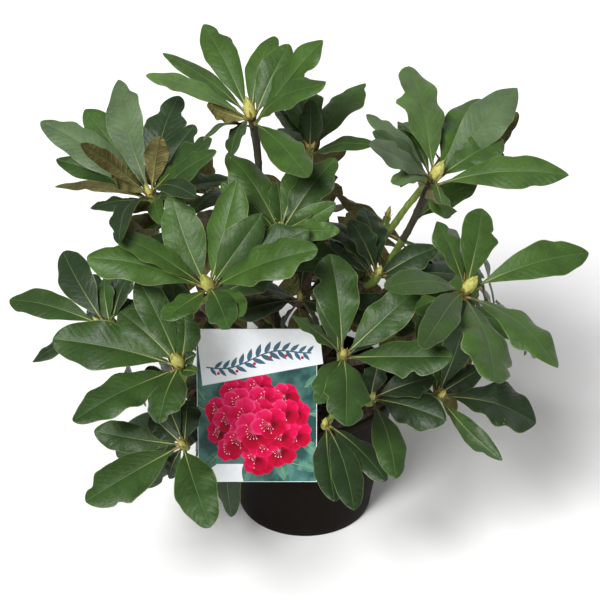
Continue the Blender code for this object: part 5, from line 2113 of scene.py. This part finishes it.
def pointed(length: float, blunt: float, steps: int) -> list[tuple[float, float]]:
    """The outline of a pointed printed leaf that lies along the first axis, anticlockwise.

    Args:
        length: Its length.
        blunt: Where its broadest part lies: below 1 nearer the stalk.
        steps: How many points its edge has from end to end.

    Returns:
        Its corners.
    """
    upper = [(t * length, 0.17 * length * math.sin(math.pi * t ** blunt)) for t in np.linspace(0, 1, steps)]
    return (upper + [(t, -w) for t, w in upper[-2:0:-1]])[::-1]


def moved(outline: Outline, x: float, z: float, angle: float) -> Outline:
    """An outline turned by an angle in degrees and set at a place on the card."""
    c, s = unit(angle)
    return [(x + c * a - s * b, z + s * a + c * b) for a, b in outline]


def dot(x: float, z: float, size: float, end: float, count: int) -> Outline:
    """A round spot's corners at a place on the card, up to an end angle."""
    return [(x + size * math.cos(a), z + size * math.sin(a)) for a in np.linspace(0, end, count)]


@dataclass(frozen=True)
class Card:
    """The picture card: white, with blossoms among leaves below a bare header with a sprig."""

    lift: float = 0.05 * MM
    layer: float = 0.02 * MM
    wide: float = CARD_WIDTH / MM / 2 - 0.5
    tall: float = CARD_HEIGHT / MM / 2 - 0.5
    header_left: float = CARD_HEIGHT / MM / 2 - 60.0
    header_right: float = CARD_HEIGHT / MM / 2 - 37.3
    sliver: float = 5.0
    panel: tuple[float, float] = (46.0, 19.0)
    petal_rows: int = 6
    petal_columns: int = 13

    def build(self) -> None:
        """Dresses the card and its tongue and prints the picture."""
        parts = (("label_card", Ink.WHITE, "card"), ("label_tongue", TONGUE_PLASTIC, "tongue_plastic"))
        for name, finish, slot in parts:
            solid = bpy.data.objects[name]
            solid.data.materials.clear()
            solid.data.materials.append(material_of(finish))
        self.picture()
        self.foliage()
        self.blossoms()
        self.sprig()

    def header(self, x: float) -> float:
        """Height of the header's lower edge."""
        return self.header_left + (self.header_right - self.header_left) * (x + self.wide) / (2 * self.wide)

    def printed(self, heap: Heap, clipped: bool = True) -> None:
        """Cuts a print to the picture, lays it on the card and attaches it to the plant.

        Args:
            heap: The print, in the card's own millimetres, with its layer as its depth.
            clipped: Whether it is cut at the picture's edges.
        """
        obj = heap.mesh()
        wide, low = self.wide, self.header(-self.wide)
        slope = Vector((self.header(wide) - low, 0, -2 * wide)).normalized() * -1
        cuts = [((wide, 0, 0), (1, 0, 0)), ((-wide, 0, 0), (-1, 0, 0)), ((0, 0, -self.tall), (0, 0, -1)),
                ((-wide, 0, low), tuple(slope))]
        for point, normal in cuts if clipped else ():
            alone(obj)
            bpy.ops.object.mode_set(mode="EDIT")
            bpy.ops.mesh.select_all(action="SELECT")
            bpy.ops.mesh.bisect(plane_co=point, plane_no=normal, clear_outer=True)
            bpy.ops.object.mode_set(mode="OBJECT")
        data = obj.data
        points = np.zeros(len(data.vertices) * 3)
        data.vertices.foreach_get("co", points)
        x, layer, z = points.reshape(-1, 3).T
        depth = -(CARD_THICKNESS / 2 + self.lift) - layer * self.layer
        local = np.stack([x * MM, depth, z * MM, np.ones(len(x))], axis=1)
        data.vertices.foreach_set("co", (local @ np.array(card_place()).T)[:, :3].ravel())
        data.update()
        hand_in(obj)

    def flat(self, heap: Heap, outline: Outline, layer: float, kind: int) -> None:
        """Adds a flat shape that faces the front, as a fan round its middle.

        Args:
            heap: The print.
            outline: Its corners anticlockwise, as seen from the front.
            layer: How many layers of ink lie below it.
            kind: Number of its ink.
        """
        corners = np.array([(x, layer, z) for x, z in outline])
        count = len(corners)
        points = np.concatenate([corners, corners.mean(axis=0)[None]])
        heap.add(points, [(k, (k + 1) % count, count) for k in range(count)], kind)

    def picture(self) -> None:
        """Prints the blurred ground of the picture, round the bare panel in its corner."""
        heap = Heap("card_picture", [Ink.TEAL])
        wide, tall = self.wide, self.tall
        width, height = self.panel
        columns = [-wide - 1, -wide + width / 2, -wide + width, 0, wide / 2, wide + 1]
        rows = [-tall - 1, -tall + height, -tall / 2, 0, tall / 2, tall + 1]
        for left, right in zip(columns, columns[1:]):
            for low, high in zip(rows, rows[1:]):
                if right > -wide + width or high > -tall + height:
                    self.flat(heap, [(left, low), (right, low), (right, high), (left, high)], 0, 0)
        self.printed(heap)
        heap = Heap("card_picture_edge", [Ink.TEAL])
        low = self.header(-wide)
        self.flat(heap, [(-wide, low), (-wide + self.sliver, low + 1), (-wide + 0.2, tall - 4)], 0, 0)
        self.printed(heap, clipped=False)

    def foliage(self) -> None:
        """Prints pointed leaves that fan out from behind the blossoms."""
        heap = Heap("card_leaves", [Ink.LEAF, Ink.VEIN])
        fan = ((-46, -6, 150, 36), (-34, -46, 228, 34), (-8, -54, 262, 32), (18, -50, 290, 36),
               (42, -34, 318, 36), (50, -8, 8, 30), (46, 20, 38, 28), (-50, 6, 122, 26),
               (32, -60, 345, 34), (8, 26, 84, 26))
        for number, (x, z, angle, length) in enumerate(fan):
            vein = [(0.04 * length, -0.35), (0.94 * length, 0), (0.04 * length, 0.35)]
            self.flat(heap, moved(pointed(length, 0.85, 9), x, z, angle), 1 + 0.1 * number, 0)
            self.flat(heap, moved(vein, x, z, angle), 1.05 + 0.1 * number, 1)
        self.printed(heap)

    def blossoms(self) -> None:
        """Prints five-petalled blossoms that crowd into one round head."""
        heap = Heap("card_blossoms", [Ink.DEEP, Ink.CLEAR, Ink.BRIGHT, Ink.ROSE, Ink.PALE])
        spots = [(0, -60, 14)]
        for count, reach, tall, size in ((10, 40, 37, 15.5), (7, 27, 25, 17), (4, 12, 12, 18)):
            for k in range(count):
                c, s = unit(360 * (k + 0.5) / count + 7 * count)
                spots.append((reach * c, -16 + tall * s, size))
        for number, (x, z, size) in enumerate(spots):
            draw = random.Random(f"{SEED} blossom {number}")
            x, z = x + draw.uniform(-2, 2), z + draw.uniform(-2, 2)
            self.blossom(heap, x, z, size * draw.uniform(0.9, 1.1), 3 + 0.5 * number, draw)
        self.printed(heap)

    def petal(self, size: float, draw: random.Random) -> tuple[np.ndarray, np.ndarray]:
        """A broad petal with a wavy rim, from its throat to its rim.

        Args:
            size: Its length.
            draw: The blossom's own draw.

        Returns:
            Each point's places along and across it, and on its map.
        """
        phase, wide, blunt = draw.uniform(0, 6.3), draw.uniform(0.46, 0.58), draw.uniform(0.4, 0.7)
        turns, shares = np.linspace(-1, 1, self.petal_columns), np.linspace(0.1, 1.0, self.petal_rows)
        rim = 0.42 + 0.58 * np.cos(turns * math.pi / 2) ** blunt * (1 + 0.07 * np.sin(9 * turns + phase))
        along = np.outer(shares, rim) * size
        across = np.outer(shares ** 0.8, wide * np.sin(turns * math.pi / 2)) * size
        spot = [np.repeat(shares, len(turns)), 0.5 + np.tile(turns, len(shares)) / 2]
        return np.stack([along.ravel(), across.ravel()]), np.stack(spot, axis=-1)

    def blossom(self, heap: Heap, x: float, z: float, size: float, layer: float, draw: random.Random) -> None:
        """Adds one blossom: five petals, lighter on the lit side, and pale stamens.

        Args:
            heap: The print.
            x: Its middle, to the right.
            z: Its middle, upward.
            size: Its radius.
            layer: How many layers of ink lie below it.
            draw: The blossom's own draw.
        """
        start = draw.uniform(0, 72)
        for k in range(5):
            angle = start + 72 * k + draw.uniform(-6, 6)
            lit = math.cos(math.radians(angle - 125)) + draw.uniform(-0.5, 0.5)
            (along, across), spot = self.petal(size * draw.uniform(0.85, 1.08), draw)
            c, s = unit(angle)
            depth = np.full(along.shape, layer + 0.03 * k)
            points = [x + c * along - s * across, depth, z + s * along + c * across]
            kind = 0 if lit < -0.45 else 1 if lit < 0.55 else 2
            heap.add(np.stack(points, axis=-1), grid_faces(self.petal_rows, self.petal_columns), kind, spot)
        for k in range(8):
            c, s = unit(start + 90 + 22 * k)
            reach = size * draw.uniform(0.28, 0.56)
            u, v = x + c * reach, z + s * reach
            a, b = s * 0.14, c * 0.14
            self.flat(heap, [(x - a, z + b), (x + a, z - b), (u + a, v - b), (u - a, v + b)], layer + 0.3, 3)
            self.flat(heap, dot(u, v, 0.62, 5.3, 6), layer + 0.35, 4)

    def sprig(self) -> None:
        """Prints a leafy sprig with small berries across the bare header."""
        heap = Heap("card_sprig", [Ink.SLATE, Ink.CRIMSON])
        spots = np.linspace(-self.wide + 9, self.wide - 5, 26)
        line = [(x, self.header(x) + 18 + 4.5 * math.sin(0.075 * x + 0.4)) for x in spots]
        for (x0, z0), (x1, z1) in zip(line, line[1:]):
            self.flat(heap, [(x0, z0 - 0.7), (x1, z1 - 0.7), (x1, z1 + 0.7), (x0, z0 + 0.7)], 1, 0)
        for number, ((x0, z0), (x1, z1)) in enumerate(zip(line[1:], line[2:])):
            side = 1 if number % 2 else -1
            way = math.degrees(math.atan2(z1 - z0, x1 - x0)) + side * 48
            self.flat(heap, moved(pointed(14.5 - 0.09 * abs(x0), 0.8, 8), x0, z0, way), 1.2, 0)
            if number % 4 == 1:
                c, s = unit(way - side * 100)
                self.flat(heap, dot(x0 + c * 6.5, z0 + s * 6.5, 1.6, 5.7, 11), 1.4, 1)
        self.printed(heap, clipped=False)


@dataclass(frozen=True)
class Studio:
    """Pale floor, soft daylight from above the front left, and the camera of the photograph."""

    floor_size: float = 20.0
    floor_light: Colour = (0.90, 0.90, 0.90, 1)
    floor_dark: Colour = (0.88, 0.88, 0.88, 1)
    sun_from: Vector = Vector((-0.40, -0.72, 0.80))
    sun_power: float = 4.5
    sun_softness: float = math.radians(24)
    fill_from: Vector = Vector((0.45, 0.80, 0.42))
    fill_power: float = 0.9
    fill_softness: float = math.radians(70)
    sky: float = 0.22

    def build(self) -> None:
        """Sets the floor, the lights and the camera."""
        bpy.ops.object.select_all(action="DESELECT")
        bpy.ops.mesh.primitive_plane_add(size=self.floor_size, location=(0, 0, -0.2 * MM))
        floor = bpy.context.object
        floor.name = floor.data.name = "floor"
        settle(floor)
        recipe = Recipe("floor", 0.9, gloss=0.1)
        cloud = recipe.noise(0.6, 2.0).rise(0.3, 0.7) * 0.3
        recipe.colour(recipe.mix(cloud, self.floor_light, self.floor_dark))
        floor.data.materials.append(recipe.material)
        world = bpy.data.worlds.new("sky")
        bpy.context.scene.world = world
        world.use_nodes = True
        sky = world.node_tree.nodes["Background"]
        sky.inputs["Color"].default_value = (1.0, 1.0, 1.0, 1)
        sky.inputs["Strength"].default_value = self.sky
        self.sun("daylight", self.sun_from, self.sun_power, self.sun_softness)
        self.sun("fill", self.fill_from, self.fill_power, self.fill_softness)
        self.camera()
        bpy.context.scene.view_settings.view_transform = "Standard"

    def sun(self, name: str, origin: Vector, power: float, softness: float) -> None:
        """Adds a soft light.

        Args:
            name: Its name.
            origin: The side that it comes from.
            power: Its strength.
            softness: The angle over which it spreads.
        """
        data = bpy.data.lights.new(name, "SUN")
        data.energy, data.angle = power, softness
        linked(name, data).rotation_euler = (-origin).to_track_quat("-Z", "Y").to_euler()

    def camera(self) -> None:
        """Sets the camera at the photograph's angle."""
        data = bpy.data.cameras.new("camera")
        data.lens, data.sensor_width = 120, 36
        camera = linked("camera", data)
        camera.location = VIEW_CENTRE + TOWARD * VIEW_DISTANCE
        camera.rotation_euler = (-TOWARD).to_track_quat("-Z", "Y").to_euler()
        bpy.context.scene.camera = camera


def main() -> None:
    """Grows the bush and builds every part of the plant."""
    logging.basicConfig(level=logging.INFO, format="%(message)s", stream=sys.stdout)
    bush = Bush()
    bush.grow()
    log.info("%d leaves", sum(len(leaves) for leaves in bush.leaves.values()))
    Wood().build(bush)
    Twigs().build(bush)
    Buds().build()
    Foliage().build(bush)
    Pot().build()
    Soil().build()
    Card().build()
    Studio().build()


if __name__ == "__main__":
    main()
